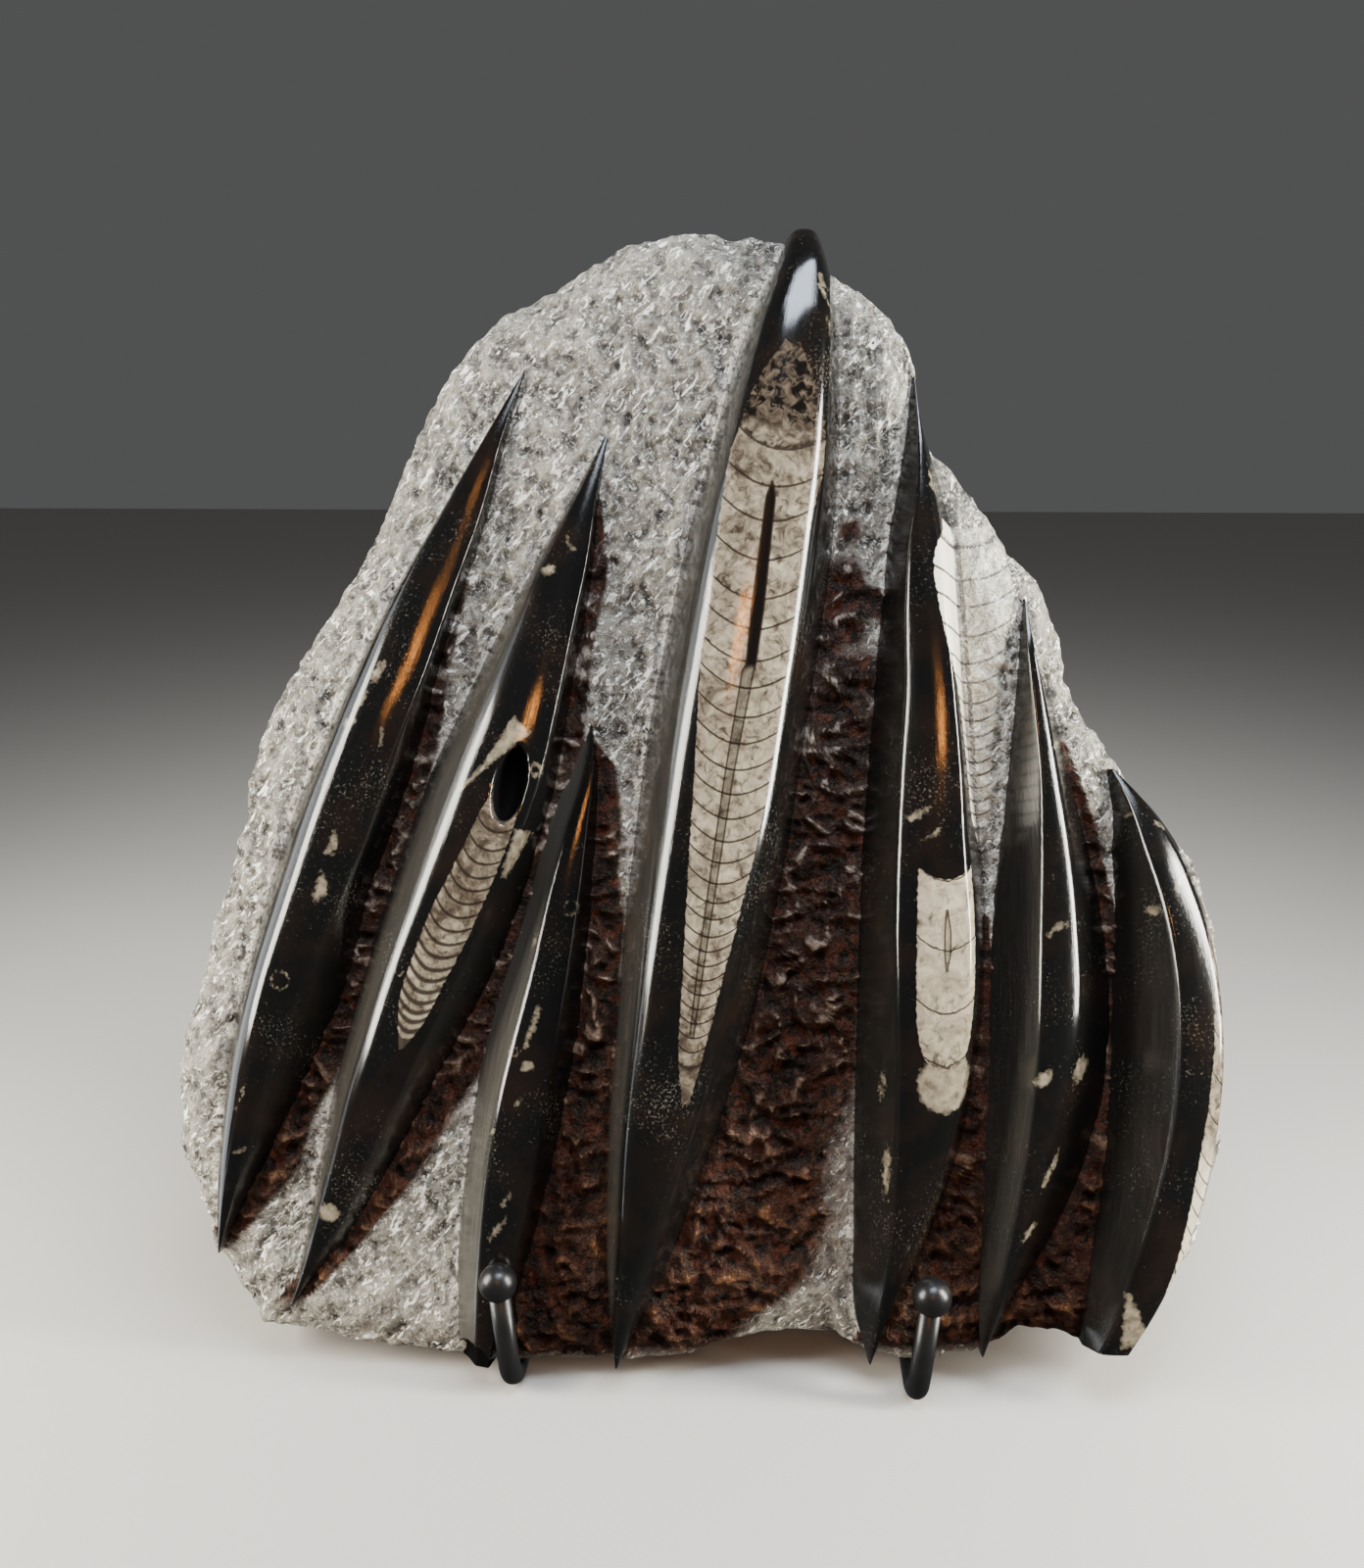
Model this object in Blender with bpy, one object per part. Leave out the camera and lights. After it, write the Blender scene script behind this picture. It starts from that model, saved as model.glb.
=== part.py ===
"""Orthoceras fossil plate on its black rod stand.

One slab of dark limestone, carved so that seven polished fossil ridges stand
out of a rough matrix, leans back on a welded stand of two bent rods with ball
tips and two crossbars.  The ridges are solids of their own, a hair's breadth
off the matrix, so that the valleys between them stay open.  The front of the slab faces -Y, +Z is up, and the
origin is the middle of the footprint on the table.

Lengths below are millimetres and are scaled once, when a mesh is made.
Slab drawings use (u, v): u to the right, v up along the leaning front face.
"""
import math

import bmesh
import bpy
from mathutils import Matrix, Vector

MM = 0.001
GAP = 0.3

# ---- where things stand -------------------------------------------------
CENTRE_SHIFT = (8.25, -70.13, 0.0)
LEAN = 15.0

# ---- rods of the stand --------------------------------------------------
ROD_RADIUS = 3.5
ROD_SIDES = 12
ROD_CORNER = ROD_RADIUS / math.cos(math.pi / ROD_SIDES)
SIDE_ROD_X = 64.7
PRONG_SPLAY = 2.7
PRONG_LEAN = 3.0
BALL_RADIUS = 6.0
BALL_HEIGHT = 43.0
BALL_SEGMENTS = 20
BALL_RINGS = 12
SOCKET_DEPTH = 4.0
SOCKET_RADIUS = ROD_CORNER + GAP
SOCKET_SIDES = 16
REAR_BEND_Y = 152.0
FRONT_BEND_RADIUS = 9.0
REAR_BEND_RADIUS = 14.0
LOWER_BAR_Y = 126.0
UPPER_BAR_LENGTH = 156.0
UPPER_BAR_V = 178.0
BEND_STEPS = 5

# ---- slab ---------------------------------------------------------------
SLAB_THICKNESS = 36.0
SLAB_FRONT_Y = ROD_RADIUS + 0.7
SLAB_BASE_Z = 2.0 * ROD_RADIUS + GAP
FRONT_CHIP = 5.0
BACK_CHIP = 3.0
SAW_CUT_REACH = 260.0
SAW_CUT_DEPTH = 40.0
SHOULDER_RISE = 0.71
TIP_RISE = 0.15

# Outline of the slab, clockwise from the top, as (u, v).
OUTLINE = [
    (-18, 368), (-8, 368), (17, 366), (32, 355), (49, 342), (60, 322), (62, 304), (72, 293),
    (85, 274), (99, 256), (107, 237), (109, 224), (124, 200), (137, 185), (151, 167), (158, 145),
    (162, 112), (161, 79), (157, 58), (151, 38), (139, 18), (130, 12), (117, 12), (112, 15),
    (99, 15), (83, 7), (66, 4), (50, 4), (40, 11), (26, 12), (14, 10), (-8, 3), (-22, 0),
    (-97, 0), (-120, 4), (-149, 9), (-160, 25), (-170, 46), (-179, 64), (-179, 96), (-170, 131),
    (-160, 170), (-153, 202), (-140, 229), (-120, 262), (-103, 300), (-83, 334), (-73, 342),
    (-60, 349), (-39, 362),
]

# Each ridge: its left and right edges from tip to foot, its height over the
# matrix and where its crest runs, as a share of its width from the left.
RIDGES = {
    "ridge_1": {
        "left": [(-66, 322), (-103, 260), (-123, 219), (-139, 183),
                 (-151, 142), (-160, 109), (-164, 75), (-163, 36)],
        "right": [(-65, 321), (-80, 265), (-92, 226), (-102, 186),
                  (-117, 147), (-127, 107), (-142, 75), (-162, 36)],
        "height": 22.0, "crest": 0.40,
    },
    "ridge_2": {
        "left": [(-40, 302), (-59, 265), (-77, 231), (-91, 201),
                 (-103, 170), (-114, 134), (-129, 67), (-138, 19)],
        "right": [(-38, 302), (-42, 265), (-47, 228), (-53, 192),
                  (-64, 155), (-74, 123), (-100, 74), (-137, 19)],
        "height": 22.0, "crest": 0.45,
    },
    "ridge_3": {
        "left": [(-44, 206), (-56, 176), (-62, 151), (-72, 120),
                 (-78, 89), (-82, 61), (-84, 30), (-82, 2)],
        "right": [(-41, 206), (-40, 176), (-41, 151), (-44, 120),
                  (-48, 89), (-54, 61), (-62, 30), (-73, 3)],
        "height": 13.0, "crest": 0.50,
    },
    "ridge_4": {
        "left": [(19, 363), (7, 341), (-6, 295), (-15, 255), (-24, 208),
                 (-30, 155), (-34, 105), (-36, 40), (-32, 6)],
        "right": [(28, 363), (36, 332), (37, 295), (34, 255), (28, 208),
                  (19, 155), (8, 105), (-12, 40), (-29, 6)],
        "height": 26.0, "crest": 0.50,
    },
    "ridge_5": {
        "left": [(58, 318), (54, 290), (51, 263), (48, 221),
                 (45, 172), (44, 108), (44, 50), (48, 9)],
        "right": [(60, 317), (66, 296), (74, 267), (78, 215),
                  (84, 172), (83, 108), (70, 50), (51, 9)],
        "height": 22.0, "crest": 0.55,
    },
    "ridge_6": {
        "left": [(93, 247), (90, 231), (88, 200), (87, 160),
                 (86, 120), (86, 88), (85, 50), (84, 13)],
        "right": [(95, 246), (101, 228), (109, 200), (119, 160),
                  (122.5, 120), (121, 86), (107, 46), (87, 13)],
        "height": 20.0, "crest": 0.50,
    },
    "ridge_7": {
        "left": [(122, 193), (124, 170), (125, 145), (124, 110),
                 (123, 78), (121, 52), (118, 30), (118, 17)],
        "right": [(126, 192), (146, 170), (158, 145), (162.5, 112),
                  (161.5, 80), (156, 55), (147, 33), (131, 16)],
        "height": 22.0, "crest": 0.45,
    },
}


def remove_all_objects():
    for old in list(bpy.data.objects):
        bpy.data.objects.remove(old, do_unlink=True)


def make_material(name, colour, roughness, metallic=0.0):
    """A Principled material with one base colour."""
    material = bpy.data.materials.new(name)
    material.use_nodes = True
    shader = material.node_tree.nodes["Principled BSDF"]
    shader.inputs["Base Color"].default_value = (*colour, 1.0)
    shader.inputs["Roughness"].default_value = roughness
    shader.inputs["Metallic"].default_value = metallic
    return material


def make_object(name, points, faces, material):
    """A mesh object from points in millimetres, its faces turned outwards."""
    mesh = bpy.data.meshes.new(name)
    shape = bmesh.new()
    corners = [shape.verts.new(Vector(point) * MM) for point in points]
    for face in faces:
        shape.faces.new([corners[i] for i in face])
    bmesh.ops.recalc_face_normals(shape, faces=shape.faces)
    shape.to_mesh(mesh)
    shape.free()
    mesh.materials.append(material)
    new = bpy.data.objects.new(name, mesh)
    bpy.context.collection.objects.link(new)
    return new


def make_tool(name, points, faces, material):
    """A solid that only shapes another one."""
    tool = make_object(name, points, faces, material)
    tool.hide_render = True
    tool.display_type = "WIRE"
    return tool


def combine(target, tool, operation):
    """An exact Boolean left live on the target."""
    modifier = target.modifiers.new(f"{operation.lower()}_{tool.name}", "BOOLEAN")
    modifier.object = tool
    modifier.operation = operation
    modifier.solver = "EXACT"


def tube_faces(rings, sides):
    """Quads between neighbouring rings of points, and a cap at each end."""
    faces = [tuple(range(sides)), tuple((rings - 1) * sides + i for i in range(sides))]
    for ring in range(rings - 1):
        for i in range(sides):
            j = (i + 1) % sides
            low, high = ring * sides, (ring + 1) * sides
            faces.append((low + i, low + j, high + j, high + i))
    return faces


# ---- the stone ----------------------------------------------------------
def make_slab_block(material):
    """The outline pushed back to the slab's thickness, its rims broken by a chip."""
    count = len(OUTLINE)
    front = [(u, v, 0.0) for u, v in OUTLINE]
    back = [(u, v, -SLAB_THICKNESS) for u, v in OUTLINE]
    slab = make_object("slab", front + back, tube_faces(2, count), material)
    shape = bmesh.new()
    shape.from_mesh(slab.data)
    for level, chip in ((0.0, FRONT_CHIP), (-SLAB_THICKNESS, BACK_CHIP)):
        rim = [e for e in shape.edges if all(abs(v.co.z - level * MM) < 1e-7 for v in e.verts)]
        bmesh.ops.bevel(shape, geom=rim, offset=chip * MM, segments=1, affect="EDGES", clamp_overlap=True)
    shape.to_mesh(slab.data)
    shape.free()
    return slab


def ridge_ring(left, right, height, crest):
    """One cross-section: two edges just off the matrix, two shoulders and the crest."""

    def across(share, rise):
        return (left[0] + (right[0] - left[0]) * share, left[1] + (right[1] - left[1]) * share, rise)

    return [
        across(0.0, GAP),
        across(0.5 * crest, SHOULDER_RISE * height),
        across(crest, height),
        across(0.5 * (1.0 + crest), SHOULDER_RISE * height),
        across(1.0, GAP),
    ]


def make_ridge(name, left, right, height, crest, material):
    """A polished ridge: cross-sections lofted from its low tip over its full height to its foot."""
    last = len(left) - 1
    rings = []
    for i, (left_edge, right_edge) in enumerate(zip(left, right)):
        swell = math.sqrt(abs(math.sin(math.pi * i / last)))
        rise = height * (TIP_RISE + (1.0 - TIP_RISE) * swell)
        rings.append(ridge_ring(left_edge, right_edge, rise, crest))
    points = [point for ring in rings for point in ring]
    return make_object(name, points, tube_faces(len(rings), len(rings[0])), material)


def make_base_cut(material):
    """The space under the level that the slab's foot is sawn to."""
    reach = SAW_CUT_REACH
    square = [(-reach, -reach), (reach, -reach), (reach, reach), (-reach, reach)]
    points = [(x, y, z) for z in (SLAB_BASE_Z - SAW_CUT_DEPTH, SLAB_BASE_Z) for x, y in square]
    return make_tool("foot_saw_cut", points, tube_faces(2, len(square)), material)


def make_slab():
    rough = make_material("rough_limestone", (0.24, 0.23, 0.21), 0.9)
    polished = make_material("polished_limestone", (0.02, 0.02, 0.02), 0.25)
    seat = bpy.data.objects.new("slab_seat", None)
    bpy.context.collection.objects.link(seat)
    seat.location = (Vector((0.0, SLAB_FRONT_Y, SLAB_BASE_Z)) + Vector(CENTRE_SHIFT)) * MM
    seat.rotation_euler.x = math.radians(90.0 - LEAN)
    slab = make_slab_block(rough)
    slab.parent = seat
    combine(slab, make_base_cut(rough), "DIFFERENCE")
    for name, drawing in RIDGES.items():
        ridge = make_ridge(name, material=polished, **drawing)
        ridge.parent = seat


# ---- the stand ----------------------------------------------------------
def rounded_path(corners, radii):
    """A path of straight runs joined by arcs of the given radii at its inner corners."""
    path = [corners[0]]
    for before, corner, after, radius in zip(corners, corners[1:], corners[2:], radii):
        to_before, to_after = (before - corner).normalized(), (after - corner).normalized()
        half = to_before.angle(to_after) / 2.0
        centre = corner + (to_before + to_after).normalized() * (radius / math.sin(half))
        start = (corner + to_before * (radius / math.tan(half)) - centre).normalized()
        end = (corner + to_after * (radius / math.tan(half)) - centre).normalized()
        for k in range(BEND_STEPS + 1):
            path.append(centre + start.slerp(end, k / BEND_STEPS) * radius)
    path.append(corners[-1])
    return path


def make_rod(name, path, material):
    """A round rod: rings square to the path, mitred at its bends, a flat facet below."""
    points = []
    for i, place in enumerate(path):
        ahead = (path[min(i + 1, len(path) - 1)] - place).normalized()
        behind = (place - path[max(i - 1, 0)]).normalized()
        along = (ahead + behind).normalized()
        mitre = 1.0 / along.dot(behind if i else ahead)
        runs_sideways = abs(along.x) > abs(along.y) + abs(along.z)
        level = Vector((0.0, 1.0, 0.0)) if runs_sideways else Vector((1.0, 0.0, 0.0))
        side = (level - along * level.dot(along)).normalized()
        lift = along.cross(side)
        for k in range(ROD_SIDES):
            turn = 2.0 * math.pi * (k + 0.5) / ROD_SIDES
            ring_x, ring_y = ROD_CORNER * math.cos(turn), ROD_CORNER * mitre * math.sin(turn)
            points.append(place + side * ring_x + lift * ring_y)
    return make_object(name, points, tube_faces(len(path), ROD_SIDES), material)


def upper_bar_centre():
    """The upper crossbar lies against the slab's back, UPPER_BAR_V up the slab."""
    lean = math.radians(LEAN)
    behind = SLAB_THICKNESS + ROD_RADIUS + GAP
    y = SLAB_FRONT_Y + UPPER_BAR_V * math.sin(lean) + behind * math.cos(lean)
    z = SLAB_BASE_Z + UPPER_BAR_V * math.cos(lean) - behind * math.sin(lean)
    return Vector((0.0, y, z))


def make_side(side, sign, steel):
    """One bent side rod with its ball: prong, floor run and rear strut."""
    x = sign * SIDE_ROD_X
    ball_centre = Vector((x + sign * PRONG_SPLAY, -PRONG_LEAN, BALL_HEIGHT))
    front_bend = Vector((x, 0.0, ROD_RADIUS))
    rear_bend = Vector((x, REAR_BEND_Y, ROD_RADIUS))
    strut_top = upper_bar_centre() + Vector((x, 0.0, 0.0))
    up_prong = (ball_centre - front_bend).normalized()
    up_strut = (strut_top - rear_bend).normalized()
    prong_end = ball_centre - up_prong * (BALL_RADIUS - SOCKET_DEPTH + GAP)
    strut_end = strut_top - up_strut * (ROD_CORNER + GAP)
    corners = [prong_end, front_bend, rear_bend, strut_end]
    path = rounded_path(corners, (FRONT_BEND_RADIUS, REAR_BEND_RADIUS))
    rod = make_rod(f"{side}_side_rod", path, steel)
    ball = make_ball(f"{side}_ball", ball_centre, up_prong, steel)
    return [rod, ball]


def make_ball(name, centre, up, material):
    """A ball tip, drilled from below for the prong."""
    shape = bmesh.new()
    bmesh.ops.create_uvsphere(shape, u_segments=BALL_SEGMENTS, v_segments=BALL_RINGS, radius=BALL_RADIUS * MM)
    mesh = bpy.data.meshes.new(name)
    shape.to_mesh(mesh)
    shape.free()
    mesh.materials.append(material)
    mesh.shade_smooth()
    ball = bpy.data.objects.new(name, mesh)
    bpy.context.collection.objects.link(ball)
    ball.location = centre * MM
    ball.rotation_euler = up.to_track_quat("Z", "Y").to_euler()
    turns = [2.0 * math.pi * k / SOCKET_SIDES for k in range(SOCKET_SIDES)]
    points = [
        (SOCKET_RADIUS * math.cos(turn), SOCKET_RADIUS * math.sin(turn), level)
        for level in (-2.0 * BALL_RADIUS, SOCKET_DEPTH - BALL_RADIUS)
        for turn in turns
    ]
    drill = make_tool(f"{name}_drill", points, tube_faces(2, SOCKET_SIDES), material)
    drill.parent = ball
    combine(ball, drill, "DIFFERENCE")
    return ball


def make_bar(name, centre, length, material):
    """A straight crossbar parallel to X."""
    half = Vector((length / 2.0, 0.0, 0.0))
    return make_rod(name, [centre - half, centre + half], material)


def make_stand():
    steel = make_material("black_steel", (0.012, 0.012, 0.013), 0.35)
    pieces = make_side("left", -1.0, steel) + make_side("right", 1.0, steel)
    between_rods = 2.0 * (SIDE_ROD_X - ROD_CORNER - GAP)
    pieces.append(make_bar("lower_crossbar", Vector((0.0, LOWER_BAR_Y, ROD_RADIUS)), between_rods, steel))
    pieces.append(make_bar("upper_crossbar", upper_bar_centre(), UPPER_BAR_LENGTH, steel))
    for piece in pieces:
        piece.matrix_basis = Matrix.Translation(Vector(CENTRE_SHIFT) * MM) @ piece.matrix_basis


remove_all_objects()
make_slab()
make_stand()
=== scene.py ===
import math

import bpy
import numpy as np
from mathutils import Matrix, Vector


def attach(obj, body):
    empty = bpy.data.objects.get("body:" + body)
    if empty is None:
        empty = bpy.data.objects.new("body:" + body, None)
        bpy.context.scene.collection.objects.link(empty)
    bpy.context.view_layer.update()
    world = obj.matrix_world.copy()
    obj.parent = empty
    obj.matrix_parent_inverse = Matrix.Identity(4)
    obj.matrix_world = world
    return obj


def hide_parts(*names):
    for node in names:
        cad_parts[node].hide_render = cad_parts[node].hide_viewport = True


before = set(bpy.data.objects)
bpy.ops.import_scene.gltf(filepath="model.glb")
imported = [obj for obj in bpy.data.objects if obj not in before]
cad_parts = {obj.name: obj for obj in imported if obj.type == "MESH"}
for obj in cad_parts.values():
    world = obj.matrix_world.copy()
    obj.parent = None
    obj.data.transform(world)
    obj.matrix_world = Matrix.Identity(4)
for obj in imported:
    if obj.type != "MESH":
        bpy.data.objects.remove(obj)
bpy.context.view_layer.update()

# ---------------------------------------------------------------------------
# The rough stone. One slab of dark Devonian limestone, split out of the bed,
# sawn flat behind and under its foot, and pecked back with a point chisel all
# round the fossils. It stands on the two floor runs and leans back 15 degrees.
# ---------------------------------------------------------------------------
MM = 0.001
LEAN = math.radians(15.0)
SEAT_X, SEAT_Y, SEAT_Z = 8.25, -65.93, 7.3          # foot of the carved face, millimetres
SLAB_THICKNESS = 36.0
SLAB_CENTRE = (-5.0, 168.0)
RIM_ROLL = 8.0                                      # how far the worked face falls to its rim
RIM_ROLL_WIDTH = 20.0
EDGE_MARGIN = 2.2                                   # how far beside a ridge the relief is calmer,
EDGE_CALM = 0.65                                    # and the share of it that is taken away there
GRID = 268                                          # squares along one side of the front grid
LATTICE, CELLS = 128, 64                            # squares after which the noise and the pits repeat
SIDE_RINGS = 14
BACK_RINGS = 9
OUTSIDE = -9.0                                      # "millimetres inside" for a point that is in no shell

# Outline of the slab, clockwise from the upper left: u to the right, v up the face.
OUTLINE = [
    (-103, 300), (-93, 319), (-83, 334), (-73, 342), (-60, 348), (-50, 355), (-39, 362), (-31, 365),
    (-18, 368), (-8, 368), (17, 365), (26, 362), (32, 355), (42, 349), (49, 342), (55, 334), (60, 323),
    (62, 305), (66, 297), (73, 292), (78, 284), (85, 274), (90, 264), (99, 256), (104, 247), (107, 237),
    (109, 224), (115, 212), (124, 200), (130, 192), (137, 185), (144, 176), (151, 167), (155, 157),
    (158, 145), (161, 126), (162, 100), (161, 79), (157, 58), (152, 40), (144, 29), (139, 18),
    (130, 12), (117, 12), (112, 15), (99, 15), (92, 11), (83, 7), (71, 4), (50, 5), (45, 8), (40, 11),
    (26, 12), (14, 10), (6, 8), (-2, 6), (-8, 3), (-22, 1), (-47, 0), (-82, -1), (-97, 1), (-120, 4),
    (-135, 7), (-149, 9), (-154, 16), (-160, 25), (-166, 35), (-170, 46), (-174, 57), (-179, 64),
    (-179, 96), (-175, 111), (-170, 131), (-168, 141), (-164, 152), (-159, 170), (-157, 187),
    (-153, 202), (-148, 214), (-140, 229), (-130, 243), (-120, 262), (-115, 270),
]

# Each ridge from tip to foot, as cross-sections: v, then u of its left edge, left shoulder, right
# shoulder and right edge, then the height of the left and of the right shoulder over the matrix.
RIDGES = {
    "ridge_1": [
        (322, -65.2, -65.1, -64.9, -64.8, 3, 3), (300, -78.6, -77.6, -71.2, -70.9, 6.5, 6.5),
        (275, -94, -92.3, -77.6, -76.9, 7, 7), (250, -108.4, -105.4, -85.6, -84.8, 9, 9),
        (225, -120.5, -115, -93.6, -92.2, 11.5, 11), (200, -131.3, -123.5, -103, -98, 14, 13),
        (175, -141.1, -131, -111.5, -106, 15.5, 14), (150, -148.8, -138.8, -121, -114.5, 16, 14.5),
        (125, -155.5, -146.5, -131.5, -120.5, 16, 14.5), (100, -160.6, -152.3, -141.5, -130.4, 15, 13.5),
        (75, -163, -156.8, -149.3, -141.8, 12, 11), (52, -163.7, -160.2, -156.4, -153.3, 7, 6.5),
        (34, -162.6, -162.4, -162, -161.8, 2, 2),
    ],
    "ridge_2": [
        (304, -37.8, -37.7, -37.4, -37.3, 1, 1), (285, -48, -46.2, -40.6, -40, 4.5, 4.5),
        (260, -61.9, -58.3, -43.2, -42, 8, 8), (235, -74.6, -66.5, -47.5, -45.9, 11.5, 11.5),
        (210, -86.5, -75.5, -52, -50, 14.5, 14), (190, -95.6, -82.5, -56.5, -53.2, 16, 15),
        (170, -102.9, -89.5, -63.5, -58.6, 17, 16), (150, -109, -96.8, -73, -64.6, 17, 16),
        (130, -115, -104, -82, -71.7, 16.5, 15.5), (110, -120.4, -110.3, -91, -81.6, 15.5, 15),
        (90, -125.2, -116.9, -100.3, -92.2, 13.5, 13), (70, -129, -122.1, -110.6, -102.1, 11, 10.5),
        (50, -132.2, -127.9, -120.5, -113.2, 8, 7.5), (30, -136, -133.6, -131, -127.5, 4, 4),
        (17, -138.3, -138.1, -137.9, -137.7, 1.5, 1.5),
    ],
    "ridge_3": [
        (208, -42.6, -42.4, -42, -41.8, 1, 1), (195, -48.3, -43.8, -41.2, -40, 3, 3.5),
        (175, -56.5, -49.1, -42.8, -40, 6, 6), (155, -61, -54, -44.9, -41, 8, 7.5),
        (130, -68.5, -59.2, -48.2, -42.6, 9.5, 9), (105, -75.5, -65, -52, -45.5, 11, 10),
        (80, -79.5, -70.6, -55.2, -49.9, 11.5, 11), (55, -82.3, -73.5, -59.5, -55.3, 11.5, 11),
        (30, -83.7, -75, -65, -61.9, 11, 10.5), (8, -82.8, -76.1, -70.2, -68.8, 9.5, 9),
        (0, -82.2, -77, -72.5, -71.5, 8.5, 8),
    ],
    "ridge_4": [
        (366.5, 23, 23.2, 23.8, 24, 2, 2), (365, 19.5, 21, 26, 27.5, 6, 6),
        (361, 16.8, 19.5, 27.5, 30, 11, 11), (355, 14, 18, 29.5, 32, 14.5, 14.5),
        (340, 7, 13, 32.2, 35, 19, 17.5), (315, -0.8, 6.5, 32.8, 36.6, 21, 18.5),
        (290, -7.2, 0.7, 31.2, 36.4, 22, 19), (265, -13.3, -4.2, 28.1, 34.6, 22.5, 19.5),
        (235, -19, -8.8, 24.2, 31, 23, 20), (205, -24.2, -12.8, 20, 26.8, 23, 20),
        (175, -27.8, -16.8, 15, 22.6, 23, 20), (145, -30.8, -21.2, 8, 17.2, 22.5, 19.5),
        (115, -33, -25.4, 0.5, 11, 20.5, 19.5), (85, -35.2, -28.5, -8, 2.5, 19.5, 18),
        (55, -35.9, -30.2, -17.3, -7.3, 17, 16), (30, -35.3, -31.4, -25, -17, 14, 13),
        (12, -33.4, -32.2, -28.5, -25.4, 10, 10), (2, -31.4, -31.2, -30.8, -30.6, 6, 6),
    ],
    "ridge_5": [
        (320, 59.2, 59.3, 59.6, 59.7, 1.5, 1.5), (305, 56.2, 60, 60.9, 62.3, 7, 7),
        (285, 53.2, 60.2, 64, 68.4, 11, 10.5), (265, 51.4, 57.5, 67.4, 73.8, 13, 13),
        (245, 50, 56.4, 69.2, 75.6, 14, 16.5), (220, 48.2, 56.8, 71.9, 77, 15.5, 19),
        (195, 46.3, 55.6, 74, 79.6, 16.5, 20.5), (170, 45, 54.8, 75.4, 83.3, 17.5, 21),
        (145, 44.1, 54.6, 77.8, 84.8, 18.5, 20.5), (120, 44, 55.3, 78, 84.4, 19, 19),
        (95, 44, 56.1, 75.2, 81.6, 18, 16.5), (70, 44, 55.8, 69.6, 76.4, 16, 14.5),
        (45, 44.3, 54.8, 61.8, 67.8, 13, 11.5), (22, 45, 51.8, 54.6, 57.4, 9, 8.5),
        (6, 49.3, 49.6, 50, 50.3, 4, 4),
    ],
    "ridge_6": [
        (249, 94.3, 94.4, 94.6, 94.7, 6, 6), (235, 91.2, 94.2, 96.2, 98.5, 11.5, 11.5),
        (215, 88.8, 96, 100, 105.1, 14.5, 13.5), (195, 88.2, 98.2, 104, 110.6, 15.5, 13.5),
        (170, 87.6, 99, 108, 117, 16, 14), (145, 86, 99, 110.6, 122, 17, 14.5),
        (120, 85.7, 98.5, 111.6, 124.3, 18.5, 15), (95, 85.6, 97.3, 108.8, 123, 17.5, 14),
        (70, 85.2, 94.9, 102.5, 116.5, 15, 12.5), (45, 84.8, 91.4, 95.4, 105.4, 11, 9.5),
        (22, 84.4, 87.4, 88.8, 92.4, 7, 6.5), (9, 85.1, 85.3, 85.5, 85.7, 3, 3),
    ],
    "ridge_7": [
        (196, 122.8, 122.9, 123.6, 124.2, 2, 2), (188, 122.9, 126.5, 130.6, 134.3, 6, 5.5),
        (172, 123.2, 131, 140.4, 147.2, 13, 11), (155, 124.6, 135.4, 146.5, 155, 18.5, 15.5),
        (135, 124.4, 138.6, 151, 159.8, 22, 18.5), (110, 123.9, 139.5, 153, 162.2, 23.5, 20),
        (85, 123.2, 137.5, 151.5, 161.5, 22.5, 19), (60, 121.8, 132.6, 147, 158, 20, 17),
        (38, 119, 127.6, 140.8, 150, 15, 12.5), (22, 117.3, 124.5, 134.5, 140.5, 10.5, 9),
        (13, 117, 121, 130, 133, 7, 7),
    ],
}
# How wide the rust-brown band to the right of each ridge is, as (v, width) from tip to foot: partly iron
# stain and partly painted shadow, laid where each ridge would shade the face from a light on its left.
IRON_AND_SHADE = {
    "ridge_1": [(270, 0), (245, 2.5), (200, 5), (140, 9), (60, 10), (34, 2)],
    "ridge_2": [(282, 0), (262, 4), (200, 6), (150, 8), (100, 12), (60, 9), (17, 2)],
    "ridge_3": [(203, 0), (195, 5), (160, 9), (120, 13), (95, 24), (60, 34), (0, 44)],
    "ridge_4": [(285, 0), (272, 8), (255, 20), (240, 27), (225, 29), (205, 30), (150, 36),
                (110, 38), (60, 41), (25, 39), (2, 33)],
    "ridge_5": [(150, 0), (130, 3), (100, 12), (70, 26), (6, 46)],
    "ridge_6": [(205, 0), (190, 2), (150, 4), (100, 10), (60, 34), (9, 42)],
}
# Where the grey stone is only tinted darker, partly by iron and partly as painted shade: u, v, reach along
# u and v, and share.
THIN_IRON_AND_SHADE = [(39, 60, 11, 75, 0.42), (-95, 12, 45, 36, 0.10)]
# Where the matrix stands higher or was cut deeper: u, v, reach in u and in v, and height.
LEVELS = [
    (86, 232, 15, 46, 7.5), (49, 322, 16, 38, 6.0), (-20, 345, 45, 42, 2.5), (119, 214, 12, 30, 3.5),
    (22, 60, 22, 60, -2.5), (-55, 300, 20, 40, 1.5), (100, 40, 30, 35, -1.5),
]


def ease(low, high, value):
    """0 below low, 1 above high, and a cubic ease between them."""
    share = np.clip((value - low) / (high - low), 0.0, 1.0)
    return share * share * (3.0 - 2.0 * share)


def smooth_noise(x, y, size, seed):
    """Value noise from -1 to 1: random heights on a lattice of the given size, blended with an ease."""
    lattice = np.random.default_rng(seed).random((LATTICE, LATTICE)) * 2.0 - 1.0
    gx, gy = x / size, y / size
    ix, iy = np.floor(gx).astype(int), np.floor(gy).astype(int)
    fx, fy = ease(0.0, 1.0, gx - ix), ease(0.0, 1.0, gy - iy)
    left, right, below, above = ix % LATTICE, (ix + 1) % LATTICE, iy % LATTICE, (iy + 1) % LATTICE
    low = lattice[left, below] * (1 - fx) + lattice[right, below] * fx
    high = lattice[left, above] * (1 - fx) + lattice[right, above] * fx
    return low * (1 - fy) + high * fy


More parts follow.
